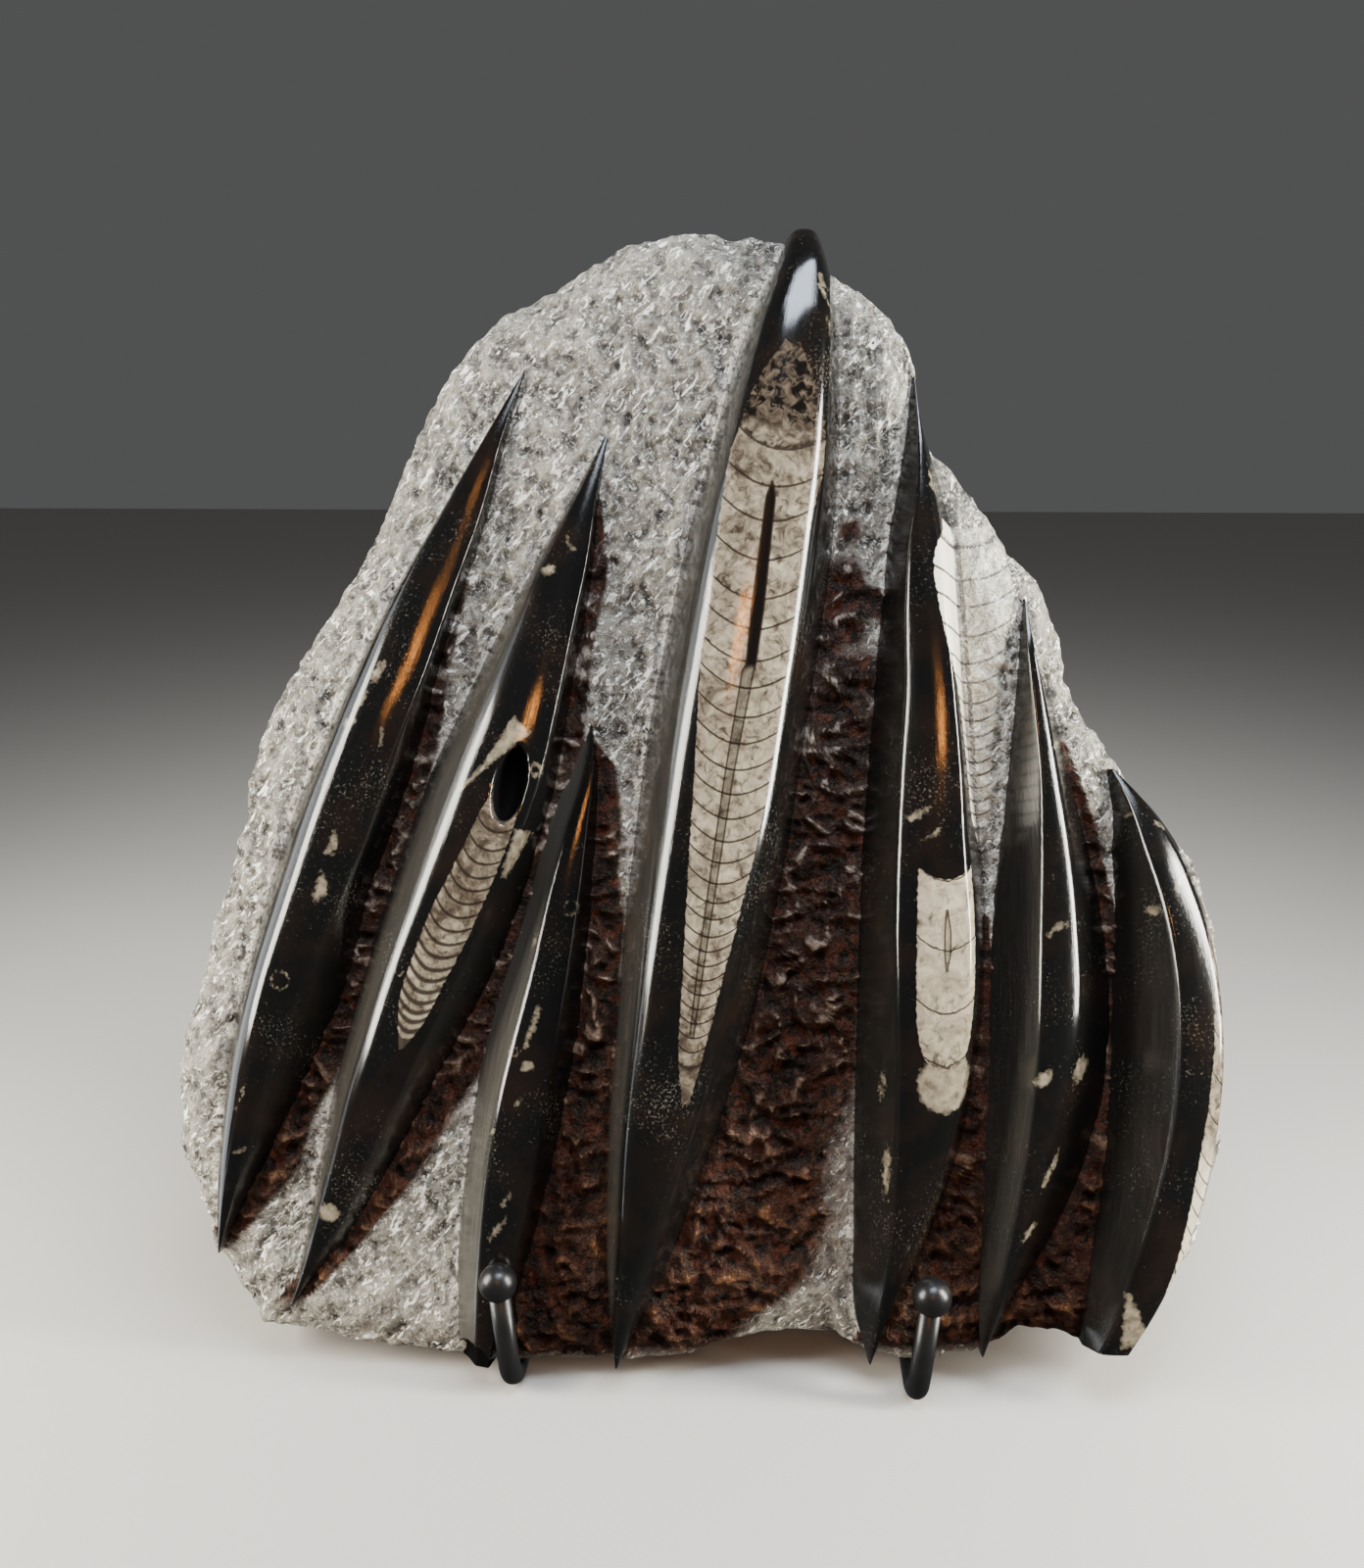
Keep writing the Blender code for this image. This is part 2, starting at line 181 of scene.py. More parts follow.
def peck_marks(x, y, size, seed):
    """Chisel pits: in each cell of a lattice one round bowl, 1 at its jittered centre and 0 at its rim."""
    cells = np.random.default_rng(seed).random((CELLS, CELLS, 4))
    ix, iy = np.floor(x / size).astype(int), np.floor(y / size).astype(int)
    pits = np.zeros_like(x)
    for step_x, step_y in np.ndindex(3, 3):
        cx, cy = ix + step_x - 1, iy + step_y - 1
        draw = cells[cx % CELLS, cy % CELLS]
        away_x = x / size - cx - 0.15 - 0.7 * draw[..., 0]
        away_y = y / size - cy - 0.15 - 0.7 * draw[..., 1]
        radius = 0.35 + 0.35 * draw[..., 2]
        bowl = np.clip(1.0 - (away_x ** 2 + away_y ** 2) / radius ** 2, 0.0, 1.0)
        pits = np.maximum(pits, (0.3 + 0.7 * draw[..., 3]) * bowl)
    return pits


def smooth_through(places, values, at):
    """A cubic curve through given values: Hermite pieces, sloped like the chords beside them."""
    places, values = np.asarray(places, float), np.asarray(values, float)
    slopes = np.gradient(values, places)
    i = np.clip(np.searchsorted(places, at) - 1, 0, len(places) - 2)
    span = places[i + 1] - places[i]
    t = np.clip((at - places[i]) / span, 0.0, 1.0)
    start = (1 + 2 * t) * (1 - t) ** 2 * values[i] + t * (1 - t) ** 2 * span * slopes[i]
    end = t ** 2 * (3 - 2 * t) * values[i + 1] + t ** 2 * (t - 1) * span * slopes[i + 1]
    return start + end


def ridge_lines(name, v):
    """A ridge's edges, shoulders and shoulder heights at height v, as six rows."""
    stations = np.array(RIDGES[name][::-1], float)
    return [smooth_through(stations[:, 0], column, v) for column in stations[:, 1:].T]


def stand_up(u, v, w):
    """Face coordinates to the row frame: along the table, up the leaning face, and out of it."""
    x = SEAT_X + u
    y = SEAT_Y + v * math.sin(LEAN) - w * math.cos(LEAN)
    z = SEAT_Z + v * math.cos(LEAN) + w * math.sin(LEAN)
    return np.stack([x, y, z], axis=-1)


def grid_faces(rows, columns, wrap=False):
    """Quads between neighbouring rows of points; wrap joins the last column to the first."""
    row = np.arange(rows - 1)[:, None] * columns
    column = np.arange(columns if wrap else columns - 1)[None, :]
    after = (column + 1) % columns
    quads = np.stack([row + column, row + after, row + columns + after, row + columns + column], axis=-1)
    return quads.reshape(-1, 4)


def put(name, data):
    """A new object of the given name and data, in the scene."""
    placed = bpy.data.objects.new(name, data)
    bpy.context.collection.objects.link(placed)
    return placed


def make_piece(name, points, faces, material, **attributes):
    """A smooth-shaded mesh from arrays: points in millimetres, groups of faces as corner numbers.

    The faces are turned round when the signed volume, a sixth of the summed triple products of their
    corners, comes out negative, so they always point outwards.
    """
    corners = [points[group] for group in faces]
    volume = sum(np.einsum("ij,ij->", c[:, 0], np.cross(c[:, i], c[:, i + 1]))
                 for c in corners for i in range(1, c.shape[1] - 1))
    if volume < 0.0:
        faces = [group[:, ::-1] for group in faces]
    sizes = np.concatenate([np.full(len(group), group.shape[1]) for group in faces])
    loops = np.concatenate([group.ravel() for group in faces]).astype(np.int32)
    mesh = bpy.data.meshes.new(name)
    mesh.vertices.add(len(points))
    mesh.vertices.foreach_set("co", (points * MM).astype(np.float32).ravel())
    mesh.loops.add(len(loops))
    mesh.loops.foreach_set("vertex_index", loops)
    mesh.polygons.add(len(sizes))
    mesh.polygons.foreach_set("loop_start", np.concatenate([[0], np.cumsum(sizes)[:-1]]).astype(np.int32))
    mesh.update(calc_edges=True)
    mesh.shade_smooth()
    for key, values in attributes.items():
        values = np.asarray(values, np.float32)
        kind, field = ("FLOAT", "value") if values.ndim == 1 else ("FLOAT_VECTOR", "vector")
        mesh.attributes.new(key, kind, "POINT").data.foreach_set(field, values.ravel())
    mesh.materials.append(material)
    piece = put(name, mesh)
    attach(piece, "root")
    return piece


def linear(hex_colour):
    """An sRGB hex colour as linear red, green, blue and alpha."""
    parts = [int(hex_colour[i:i + 2], 16) / 255.0 for i in (1, 3, 5)]
    return tuple(p / 12.92 if p <= 0.04045 else ((p + 0.055) / 1.055) ** 2.4 for p in parts) + (1.0,)


def add(tree, kind, inputs, **settings):
    """Adds a node with its settings and inputs, each a value or a link; gives its first live output."""
    node = tree.nodes.new("ShaderNode" + kind)
    for setting, value in settings.items():
        setattr(node, setting, value)
    for key, value in inputs.items():
        socket = node.inputs[key] if isinstance(key, int) else \
            next(s for s in node.inputs if s.name == key and s.enabled)
        if isinstance(value, bpy.types.NodeSocket):
            tree.links.new(value, socket)
        else:
            socket.default_value = value
    return next(s for s in node.outputs if s.enabled)


def noise(tree, where, scale, detail, roughness=0.5, distortion=0.0):
    """Cloudy noise; on coordinates in millimetres its scale is the number of lumps in a millimetre."""
    return add(tree, "TexNoise", {"Vector": where, "Scale": scale, "Detail": detail,
                                  "Roughness": roughness, "Distortion": distortion})


def remap(tree, value, low, high, to_low=0.0, to_high=1.0):
    """The range from low to high stretched to another range, and held inside it."""
    return add(tree, "MapRange", {"Value": value, "From Min": low, "From Max": high,
                                  "To Min": to_low, "To Max": to_high})


def math_step(tree, operation, *values):
    """One sum on numbers or links."""
    return add(tree, "Math", dict(enumerate(values)), operation=operation)


def times(tree, first, second):
    """The product of two numbers or links."""
    return math_step(tree, "MULTIPLY", first, second)


def weighted(tree, value, share, other):
    """A value times its share, plus another value."""
    return math_step(tree, "MULTIPLY_ADD", value, share, other)


def distance(tree, value, middle):
    """How far a value lies from the middle, on either side."""
    return math_step(tree, "ABSOLUTE", math_step(tree, "SUBTRACT", value, middle))


def mix(tree, share, first, second, kind="FLOAT"):
    """The first value at a share of 0, the second at a share of 1."""
    return add(tree, "Mix", {"Factor": share, "A": first, "B": second}, data_type=kind)


def blend(tree, share, first, second):
    """A mix of two colours, each a hex colour or a link."""
    ends = [linear(end) if isinstance(end, str) else end for end in (first, second)]
    return mix(tree, share, *ends, "RGBA")


def new_material(name):
    """A material with an empty tree, and its Principled shader wired to the output."""
    material = bpy.data.materials.new(name)
    material.use_nodes = True
    tree = material.node_tree
    return material, tree, tree.nodes["Principled BSDF"]


def place_in_mm(tree):
    """Object coordinates as millimetres."""
    where = tree.nodes.new("ShaderNodeTexCoord").outputs["Object"]
    return add(tree, "VectorMath", {0: where, "Scale": 1.0 / MM}, operation="SCALE")


def attribute(tree, name, output):
    """A vertex attribute of the piece."""
    node = tree.nodes.new("ShaderNodeAttribute")
    node.attribute_name = name
    return node.outputs[output]


def split(tree, vector):
    """The three parts of a vector."""
    node = tree.nodes.new("ShaderNodeSeparateXYZ")
    tree.links.new(vector, node.inputs[0])
    return node.outputs


def wire(tree, shader, links):
    """Links a tree's results to the shader's sockets."""
    for socket, link in links.items():
        tree.links.new(link, shader.inputs[socket])


def shell_colours(tree, where):
    """Fossil shell cut by the carver: clouded calcite, thin dark septa and the siphuncle's tube.

    The attribute chamber holds the chamber's number, its length and the septum's thickness in
    millimetres; siphon the distance from the siphuncle, its half thickness and whether it is filled;
    mottle how dark and broken the calcite is.
    """
    number, length, thickness = split(tree, attribute(tree, "chamber", "Vector"))
    away, half, filled = split(tree, attribute(tree, "siphon", "Vector"))
    mottle = attribute(tree, "mottle", "Fac")
    smear = noise(tree, where, 0.14, 6.0, 0.68, 0.9)
    blotch = noise(tree, where, 0.30, 5.0, 0.62, 0.8)
    darkness = weighted(tree, mottle, 0.36, smear)
    clouded = remap(tree, darkness, 0.44, 0.92)
    bleached = remap(tree, mottle, 0.3, -0.5)
    calcite = blend(tree, bleached, "#b2a892", "#ece5d3")
    deep = remap(tree, mottle, 0.8, 1.4)
    swirl = blend(tree, remap(tree, blotch, 0.34, 0.56), "#5a4e41", "#0c0907")
    smoke = blend(tree, deep, "#4a4036", swirl)
    calcite = blend(tree, clouded, calcite, smoke)
    darkness = weighted(tree, mottle, 0.20, blotch)
    flecked = remap(tree, darkness, 0.62, 0.80, 0.0, 0.9)
    flecked = times(tree, flecked, math_step(tree, "SUBTRACT", 1.0, deep))
    calcite = blend(tree, flecked, calcite, "#2c241d")
    wobble = weighted(tree, blotch, 0.10, number)
    phase = math_step(tree, "FRACT", math_step(tree, "ADD", wobble, 0.45))
    gap = times(tree, distance(tree, phase, 0.5), length)
    gap = math_step(tree, "DIVIDE", gap, thickness)
    septum = remap(tree, gap, 0.85, 0.35, 0.0, 0.92)
    lined = blend(tree, septum, calcite, "#231c17")
    room = math_step(tree, "SUBTRACT", half, away)
    within = remap(tree, room, -0.15, 0.2)
    fill = remap(tree, filled, 0.0, 1.0, 0.35, 1.0)
    core = times(tree, within, fill)
    lined = blend(tree, core, lined, "#0b0806")
    wall = remap(tree, math_step(tree, "ABSOLUTE", room), 0.42, 0.15, 0.0, 0.85)
    wall = times(tree, wall, math_step(tree, "GREATER_THAN", half, 0.15))
    return blend(tree, wall, lined, "#1f1712")


def pecked_limestone():
    """Dark limestone bruised pale by the point chisel, rust-brown in the hollows beside the ridges.

    High spots are pale and chalky, partly chisel bruise and partly painted highlight, as are the lit edges
    of the chisel marks; pits, fresh breaks and the shaded sides of the marks are dark, partly painted
    shade. The rust-brown is partly iron stain and partly painted shadow. Nothing on it shines but the brown
    bands, which are a little closer and sleeker, with painted glints on their crests. The sawn back is a
    smoother mid grey.
    """
    material, tree, shader = new_material("pecked_limestone")
    where = place_in_mm(tree)
    relief = attribute(tree, "relief", "Fac")
    stained = attribute(tree, "stain", "Fac")
    sawn = attribute(tree, "sawn", "Fac")
    ground = attribute(tree, "ground", "Fac")
    grain = noise(tree, where, 0.5, 4.0, 0.6)
    patches = noise(tree, where, 0.05, 3.0)
    # pale on the high spots, partly chisel bruise and partly painted light; darker in the pits, painted
    # shade
    tone = weighted(tree, relief, 0.45, grain)
    tone = weighted(tree, patches, 0.4, tone)
    tone = remap(tree, tone, 0.54, 1.11)
    stone = blend(tree, tone, "#2d2924", "#979285")
    # short curved pale strokes, partly bruises and partly painted highlight, and longer ones of about 6 by
    # 2 mm along the chisel's slant: a painted highlight on each mark's lit edge beside a painted shadow,
    # the scar; both drawn coarser than the finest pecking, which would not show
    curl = noise(tree, where, 0.26, 3.0, 0.6, 1.3)
    curl = remap(tree, distance(tree, curl, 0.5), 0.034, 0.008)
    broken = remap(tree, grain, 0.44, 0.54)
    stroke = times(tree, curl, broken)
    slanted = add(tree, "Mapping", {"Vector": where, "Rotation": (0.0, math.radians(-50.0), 0.0),
                                    "Scale": (6.0, 2.6, 2.1)}, vector_type="TEXTURE")
    slash_highlight = noise(tree, slanted, 1.0, 3.0, 0.55, 1.0)
    scar_shadow = remap(tree, slash_highlight, 0.40, 0.33, 0.0, 0.7)
    slash_highlight = remap(tree, slash_highlight, 0.565, 0.63)
    fleck = remap(tree, grain, 0.62, 0.70, 0.0, 0.7)
    pale = math_step(tree, "MAXIMUM", stroke, fleck)
    pale = math_step(tree, "MAXIMUM", pale, slash_highlight)
    stone = blend(tree, scar_shadow, stone, "#35312b")
    stone = blend(tree, pale, stone, "#f8f5ea")
    # a pale strip along each ridge's left edge: partly ground stone, partly painted highlight on the side
    # that faces the light
    left_edge_pale_and_glint = times(tree, ground, broken)
    stone = blend(tree, left_edge_pale_and_glint, stone, "#e4dfd2")
    # the brown bands, partly iron stain and partly painted shadow: near black and rust in the gouges, the
    # near black painted shade; painted glints on the crests, brown towards the foot
    low = remap(tree, split(tree, where)["Z"], 210.0, 60.0)
    gouge = noise(tree, where, 0.16, 3.0, 0.55, 1.0)
    rusty = remap(tree, gouge, 0.46, 0.62)
    gouge_shade_and_iron = blend(tree, rusty, "#060302", "#491f0e")
    swell_colour = blend(tree, low, "#35261f", "#361b0f")
    brown_shade_and_glint_tone = weighted(tree, grain, 0.35, relief)
    crest = remap(tree, brown_shade_and_glint_tone, 0.88, 1.35)
    brown_shade_and_glint_tone = remap(tree, brown_shade_and_glint_tone, 0.30, 0.95)
    brown_shade_and_glint = blend(tree, brown_shade_and_glint_tone, gouge_shade_and_iron, swell_colour)
    # painted glints on the crests of the brown bands, chalky pale high up and brown towards the foot
    crest_glint_colour = blend(tree, low, "#b6ada0", "#6b4427")
    brown_shade_and_glint = blend(tree, crest, brown_shade_and_glint, crest_glint_colour)
    # the bands and the thin tints darken the stone: partly iron tint, partly painted shade
    tint_and_shade = remap(tree, stained, 0.0, 0.5, 0.0, 0.55)
    stone = blend(tree, tint_and_shade, stone, "#55443a")
    stain_edge = weighted(tree, grain, 0.9, stained)
    stain_edge = remap(tree, stain_edge, 0.72, 1.20)
    stone = blend(tree, stain_edge, stone, brown_shade_and_glint)
    # the shell left in the matrix, bruised through where the grain is pale
    shell = remap(tree, attribute(tree, "shell", "Fac"), -0.6, 0.6, 0.0, 0.85)
    kept = remap(tree, grain, 0.42, 0.62, 0.95, 0.35)
    shell = times(tree, shell, kept)
    stone = blend(tree, shell, stone, shell_colours(tree, where))
    # sawn back and foot
    saw_grey = blend(tree, grain, "#55524c", "#7c7972")
    stone = blend(tree, sawn, stone, saw_grey)
    wet = remap(tree, crest, 0.0, 1.0, 0.60, 0.34)
    rough = mix(tree, stain_edge, 0.82, wet)
    film = blend(tree, stain_edge, "#ffffff", "#f0dccb")
    fine = weighted(tree, pale, 0.5, grain)
    fine = weighted(tree, scar_shadow, -0.5, fine)
    marks = add(tree, "TexWave", {"Vector": where, "Scale": 0.16, "Distortion": 1.2, "Detail": 2.0,
                                  "Detail Scale": 0.02}, wave_type="RINGS", rings_direction="Y")
    marks = times(tree, marks, sawn)
    fine = weighted(tree, marks, 0.25, fine)
    bump = add(tree, "Bump", {"Strength": 1.0, "Distance": 0.0014, "Height": fine})
    wire(tree, shader, {"Base Color": stone, "Roughness": rough, "Specular Tint": film, "Normal": bump})
    return material


def crests(x, y, size, seed):
    """Sharp curving crests where value noise passes zero, 1 on the crest and 0 in the hollows."""
    return (1.0 - np.abs(smooth_noise(x, y, size, seed))) ** 3


def bell(u, v, at_u, at_v, reach_u, reach_v):
    """1 at a place on the face, falling off as a bell over its reach in u and in v."""
    return np.exp(-((u - at_u) / reach_u) ** 2 - ((v - at_v) / reach_v) ** 2)


def face_relief(u, v):
    """The worked face: swells, broken crests and pits, slanted chisel strokes, scalloped hollows.

    It is calmer along the ridges. Gives the height over the face in millimetres, the share of high spots
    (drawn pale: partly bruise, partly painted light), the share of the rust-brown bands (partly iron stain,
    partly painted shadow) and the pale strip along the ridges' left edges (partly ground stone, partly
    painted highlight).
    """
    slant = math.radians(42.0)
    along = u * math.cos(slant) + v * math.sin(slant)
    over = v * math.cos(slant) - u * math.sin(slant)
    warp_u = u + 2.5 * smooth_noise(u, v, 11.0, 31)
    warp_v = v + 2.5 * smooth_noise(u, v, 11.0, 32)
    swell = 1.2 * smooth_noise(u, v, 34.0, 3) + 0.8 * smooth_noise(u, v, 13.0, 4)
    fine_crests = crests(warp_u, warp_v, 4.6, 34)
    broken = 1.3 * crests(warp_u, warp_v, 9.0, 33) + 1.2 * fine_crests + 0.6 * crests(u, v, 2.9, 39)
    strokes = crests(along / 3.2 + 0.4 * over, over, 4.2, 35)
    worked = ease(150.0, 90.0, v) * ease(-40.0, -60.0, u)
    pits = np.clip(peck_marks(warp_u, warp_v, 6.0, 5) - 0.5, 0.0, 1.0)
    rough = 0.7 * smooth_noise(u, v, 2.4, 7) + 0.5 * smooth_noise(u, v, 1.5, 8)
    lit = swell + broken * (1.0 - 0.4 * worked) + 1.5 * worked * strokes - 2.2 * pits + 0.25 * rough
    lit_high = (-0.1 + 0.45 * broken * (1.0 - 0.5 * worked) + 0.8 * worked * strokes
                - 1.6 * pits + 0.4 * rough)

    stain, ground = np.zeros_like(u), np.zeros_like(u)
    # rust-brown bands right of the ridges: partly iron stain, partly painted shadow
    for name, widths in IRON_AND_SHADE.items():
        places, values = np.array(widths[::-1], float).T
        right = ridge_lines(name, v)[3]
        width = np.interp(v, places, values)
        width = width * (1.0 + 0.18 * smooth_noise(u, v, 16.0, 36))
        beside = u - right
        reach = (1.0 - ease(0.80 * width, 1.25 * width + 0.01, beside)) * (beside > -7.0)
        reach = reach * ease(-0.5, 0.3, smooth_noise(u, v, 8.0, 41) + (250.0 - v) / 50.0)
        stain = np.maximum(stain, reach * (v < places[-1]) * ease(places[0] - 4.0, places[0] + 8.0, v))
    calm = np.zeros_like(u)
    for name, stations in RIDGES.items():
        left, _, _, right, _, _ = ridge_lines(name, v)
        between = (v > stations[-1][0]) & (v < stations[0][0])
        calm = np.maximum(calm, between * (1.0 - ease(0.0, EDGE_MARGIN, np.maximum(left - u, u - right))))
        # the pale strip along each ridge's left edge: partly ground stone, partly painted highlight
        edge = np.abs(u - left + 0.4 + 0.7 * smooth_noise(u, v, 5.0, 37))
        ground = np.maximum(ground, between * (1.0 - ease(0.3, 1.5, edge)))
    # wet-looking gouges: crests drawn out along the face, cut again by smaller ones
    gouge_u = u + 4.0 * smooth_noise(u, v, 9.0, 9) + 0.35 * v
    gouge_v = v + 2.6 * smooth_noise(u, v, 10.0, 10) - 0.2 * u
    scallop = crests(gouge_u / 1.9, gouge_v, 4.7, 38) + 0.6 * crests(gouge_u / 1.5, gouge_v, 2.9, 40)
    hollow = swell + 2.8 * scallop + 0.7 * fine_crests - 1.2 * pits + 0.4 * rough
    hollow_high = -0.15 + 0.85 * scallop + 0.2 * fine_crests - 0.8 * pits + 0.3 * rough
    height = (lit + (hollow - lit) * stain) * (1.0 - EDGE_CALM * calm)
    high = lit_high + (hollow_high - lit_high) * stain
    # thin tints: partly iron, partly painted shade
    for *place, share in THIN_IRON_AND_SHADE:
        stain = np.maximum(stain, share * bell(u, v, *place))
    for *place, rise in LEVELS:
        height = height + rise * bell(u, v, *place)
    return height, high, stain, ground * (1.0 - 0.7 * stain)


def outline_at(turn):
    """The outline at a share of its length, its broken edge roughened by short and long waves."""
    points = np.array(OUTLINE + OUTLINE[:1], float)
    lengths = np.concatenate([[0.0], np.cumsum(np.hypot(*np.diff(points, axis=0).T))])
    at = (turn % 1.0) * lengths[-1]
    u, v = np.interp(at, lengths, points[:, 0]), np.interp(at, lengths, points[:, 1])
    away_u, away_v = u - SLAB_CENTRE[0], v - SLAB_CENTRE[1]
    reach = np.hypot(away_u, away_v)
    chips = 0.8 * smooth_noise(u, v, 7.0, 11) + 0.45 * smooth_noise(u, v, 3.0, 12)
    return u + away_u / reach * chips, v + away_v / reach * chips


def make_stone():
    """Front: a square grid wrapped ring by ring onto the outline. Sides and back: rings round the rim."""
    line = np.linspace(-1.0, 1.0, GRID + 1)
    a, b = np.meshgrid(line, line, indexing="ij")
    ring = np.maximum(np.abs(a), np.abs(b))
    safe = np.maximum(ring, 1e-9)
    top, right, bottom = b / safe >= 1.0, a / safe >= 1.0, b / safe <= -1.0
    turn = np.where(top, (a / safe + 1) / 8, np.where(right, 0.25 + (1 - b / safe) / 8,
                    np.where(bottom, 0.5 + (1 - a / safe) / 8, 0.75 + (b / safe + 1) / 8)))
    rim_u, rim_v = outline_at(turn)
    u = SLAB_CENTRE[0] + ring * (rim_u - SLAB_CENTRE[0])
    v = SLAB_CENTRE[1] + ring * (rim_v - SLAB_CENTRE[1])
    to_rim = (1.0 - ring) * np.hypot(rim_u - SLAB_CENTRE[0], rim_v - SLAB_CENTRE[1])
    height, high_spots, stain, ground = face_relief(u, v)
    roll = 1.0 - np.clip(to_rim / RIM_ROLL_WIDTH, 0.0, 1.0)
    height = height - RIM_ROLL * roll ** 2.2
    front = stand_up(u, v, height).reshape(-1, 3)

    index = np.arange((GRID + 1) ** 2).reshape(GRID + 1, GRID + 1)
    rim = np.concatenate([index[:-1, -1], index[-1, :0:-1], index[:0:-1, 0], index[0, :-1]])
    rim_u, rim_v, rim_w = u.ravel()[rim], v.ravel()[rim], height.ravel()[rim]
    down = np.linspace(0.0, 1.0, SIDE_RINGS + 1)[1:, None]
    w = rim_w + (-SLAB_THICKNESS - rim_w) * down
    bulge = 1.6 * np.sin(math.pi * down) - 2.5 * down ** 6
    rough = 1.5 * smooth_noise(rim_u + rim_v, w, 11.0, 13) + 0.8 * smooth_noise(rim_u - rim_v, w, 4.0, 14)
    grow = 1.0 + (bulge + rough * np.sin(math.pi * down) ** 0.5) / 170.0
    side_u = SLAB_CENTRE[0] + (rim_u - SLAB_CENTRE[0]) * grow
    side_v = SLAB_CENTRE[1] + (rim_v - SLAB_CENTRE[1]) * grow
    inward = (1.0 - np.arange(1, BACK_RINGS + 1) / BACK_RINGS)[:, None] ** 0.8
    back_u = SLAB_CENTRE[0] + (side_u[-1] - SLAB_CENTRE[0]) * inward
    back_v = SLAB_CENTRE[1] + (side_v[-1] - SLAB_CENTRE[1]) * inward
    back_w = -SLAB_THICKNESS - 0.6 * ease(1.0, 0.9, inward) + 0.2 * smooth_noise(back_u, back_v, 40.0, 15)
    rows_u, rows_v = np.vstack([side_u, back_u]), np.vstack([side_v, back_v])
    rows_w = np.vstack([w, back_w])
    rest = stand_up(rows_u, rows_v, rows_w).reshape(-1, 3)
    points = np.vstack([front, rest])
    level_foot = points[:, 2] < SEAT_Z
    points[:, 2] = np.maximum(points[:, 2], SEAT_Z)

    columns = len(rim)
    rings = np.vstack([rim[None, :], len(front) + np.arange(len(rest)).reshape(-1, columns)])
    after = np.roll(rings, -1, axis=1)
    skirt = np.stack([rings[:-1], rings[1:], after[1:], after[:-1]], axis=-1).reshape(-1, 4)
    faces = [grid_faces(GRID + 1, GRID + 1), skirt[:-columns]]
    # the last ring closes on its own centre: one point in place of the ring's many
    centre = rings[-1, 0]
    faces.append(np.stack([rings[-2], np.full(columns, centre), after[-2]], axis=-1))
    used = np.unique(np.concatenate([group.ravel() for group in faces]))
    renumber = np.zeros(len(points), int)
    renumber[used] = np.arange(len(used))

    side_relief = 0.3 + 0.35 * rough
    back_flat = np.zeros_like(back_u)
    relief = np.concatenate([high_spots.ravel(), side_relief.ravel(), back_flat.ravel()])
    fill = np.zeros(len(rest))
    sawn = np.concatenate([np.zeros(len(front)), np.zeros(side_u.size), np.ones(back_u.size)])
    sawn = np.maximum(sawn, level_foot)
    shells = shell_attributes(np.append(u.ravel(), fill), np.append(v.ravel(), fill), [SIDE_SHELL])
    return make_piece(
        "matrix_slab", points[used], [renumber[group] for group in faces], pecked_limestone(),
        relief=relief[used], sawn=sawn[used],
        stain=np.concatenate([stain.ravel(), fill])[used],
        ground=np.concatenate([ground.ravel(), fill])[used],
        **{key: values[used] for key, values in shells.items()},
    )


def fossil_shell(u, v, mouth, apex, outline, septa, sag, lines, siphuncle, mottle):
    """A straight shell on the face, from its mouth to its apex, laid out along its axis.

    outline holds (along, left, right), lines (along, septum thickness), siphuncle (along, across, half
    thickness, filled) and mottle (along, share). A septum bows towards the apex by sag half widths:
    its place along the axis grows with the square of the distance from the middle. Gives millimetres
    inside the shell's edge, then the chamber, siphon and mottle attributes.
    """
    axis = np.subtract(apex, mouth) / np.hypot(*np.subtract(apex, mouth))
    along = (u - mouth[0]) * axis[0] + (v - mouth[1]) * axis[1]
    across = (v - mouth[1]) * axis[0] - (u - mouth[0]) * axis[1]
    shape, tube = np.array(outline, float), np.array(siphuncle, float)
    left = smooth_through(shape[:, 0], shape[:, 1], along)
    right = smooth_through(shape[:, 0], shape[:, 2], along)
    half = np.maximum((right - left) / 2.0, 0.5)
    offset = np.clip((across - (left + right) / 2.0) / half, -1.3, 1.3)
    hung = along + sag * half * offset ** 2
    inside = np.minimum(np.minimum(across - left, right - across),
                        np.minimum(hung - shape[0, 0], shape[-1, 0] - along))
    places = np.array([septa[0] - 60.0] + list(septa) + [septa[-1] + 60.0])
    number = np.interp(hung, places, np.arange(len(places)) - 1.0)
    length = np.interp(hung, (places[1:] + places[:-1]) / 2.0, np.diff(places))
    thickness = np.interp(along, *np.array(lines, float).T)
    middle, thick, filled = [np.interp(along, tube[:, 0], tube[:, i], 0.0, 0.0) for i in (1, 2, 3)]
    chamber = np.stack([number, length, thickness], axis=-1)
    siphon = np.stack([np.abs(across - middle), thick, filled], axis=-1)
    return inside, chamber, siphon, np.interp(along, *np.array(mottle, float).T)


def shell_attributes(u, v, shells):
    """Each point takes the shell that it is deepest in; a piece with no shell is outside all over."""
    best = [np.full_like(u, OUTSIDE), np.ones((len(u), 3)), np.ones((len(u), 3)) * (-OUTSIDE, 0.0, 0.0),
            np.zeros_like(u)]
    for shell in shells:
        drawn = fossil_shell(u, v, **shell)
        nearer = drawn[0] > best[0]
        best = [np.where(nearer if old.ndim == 1 else nearer[:, None], new, old)
                for new, old in zip(drawn, best)]
    return dict(zip(("shell", "chamber", "siphon", "mottle"), best))


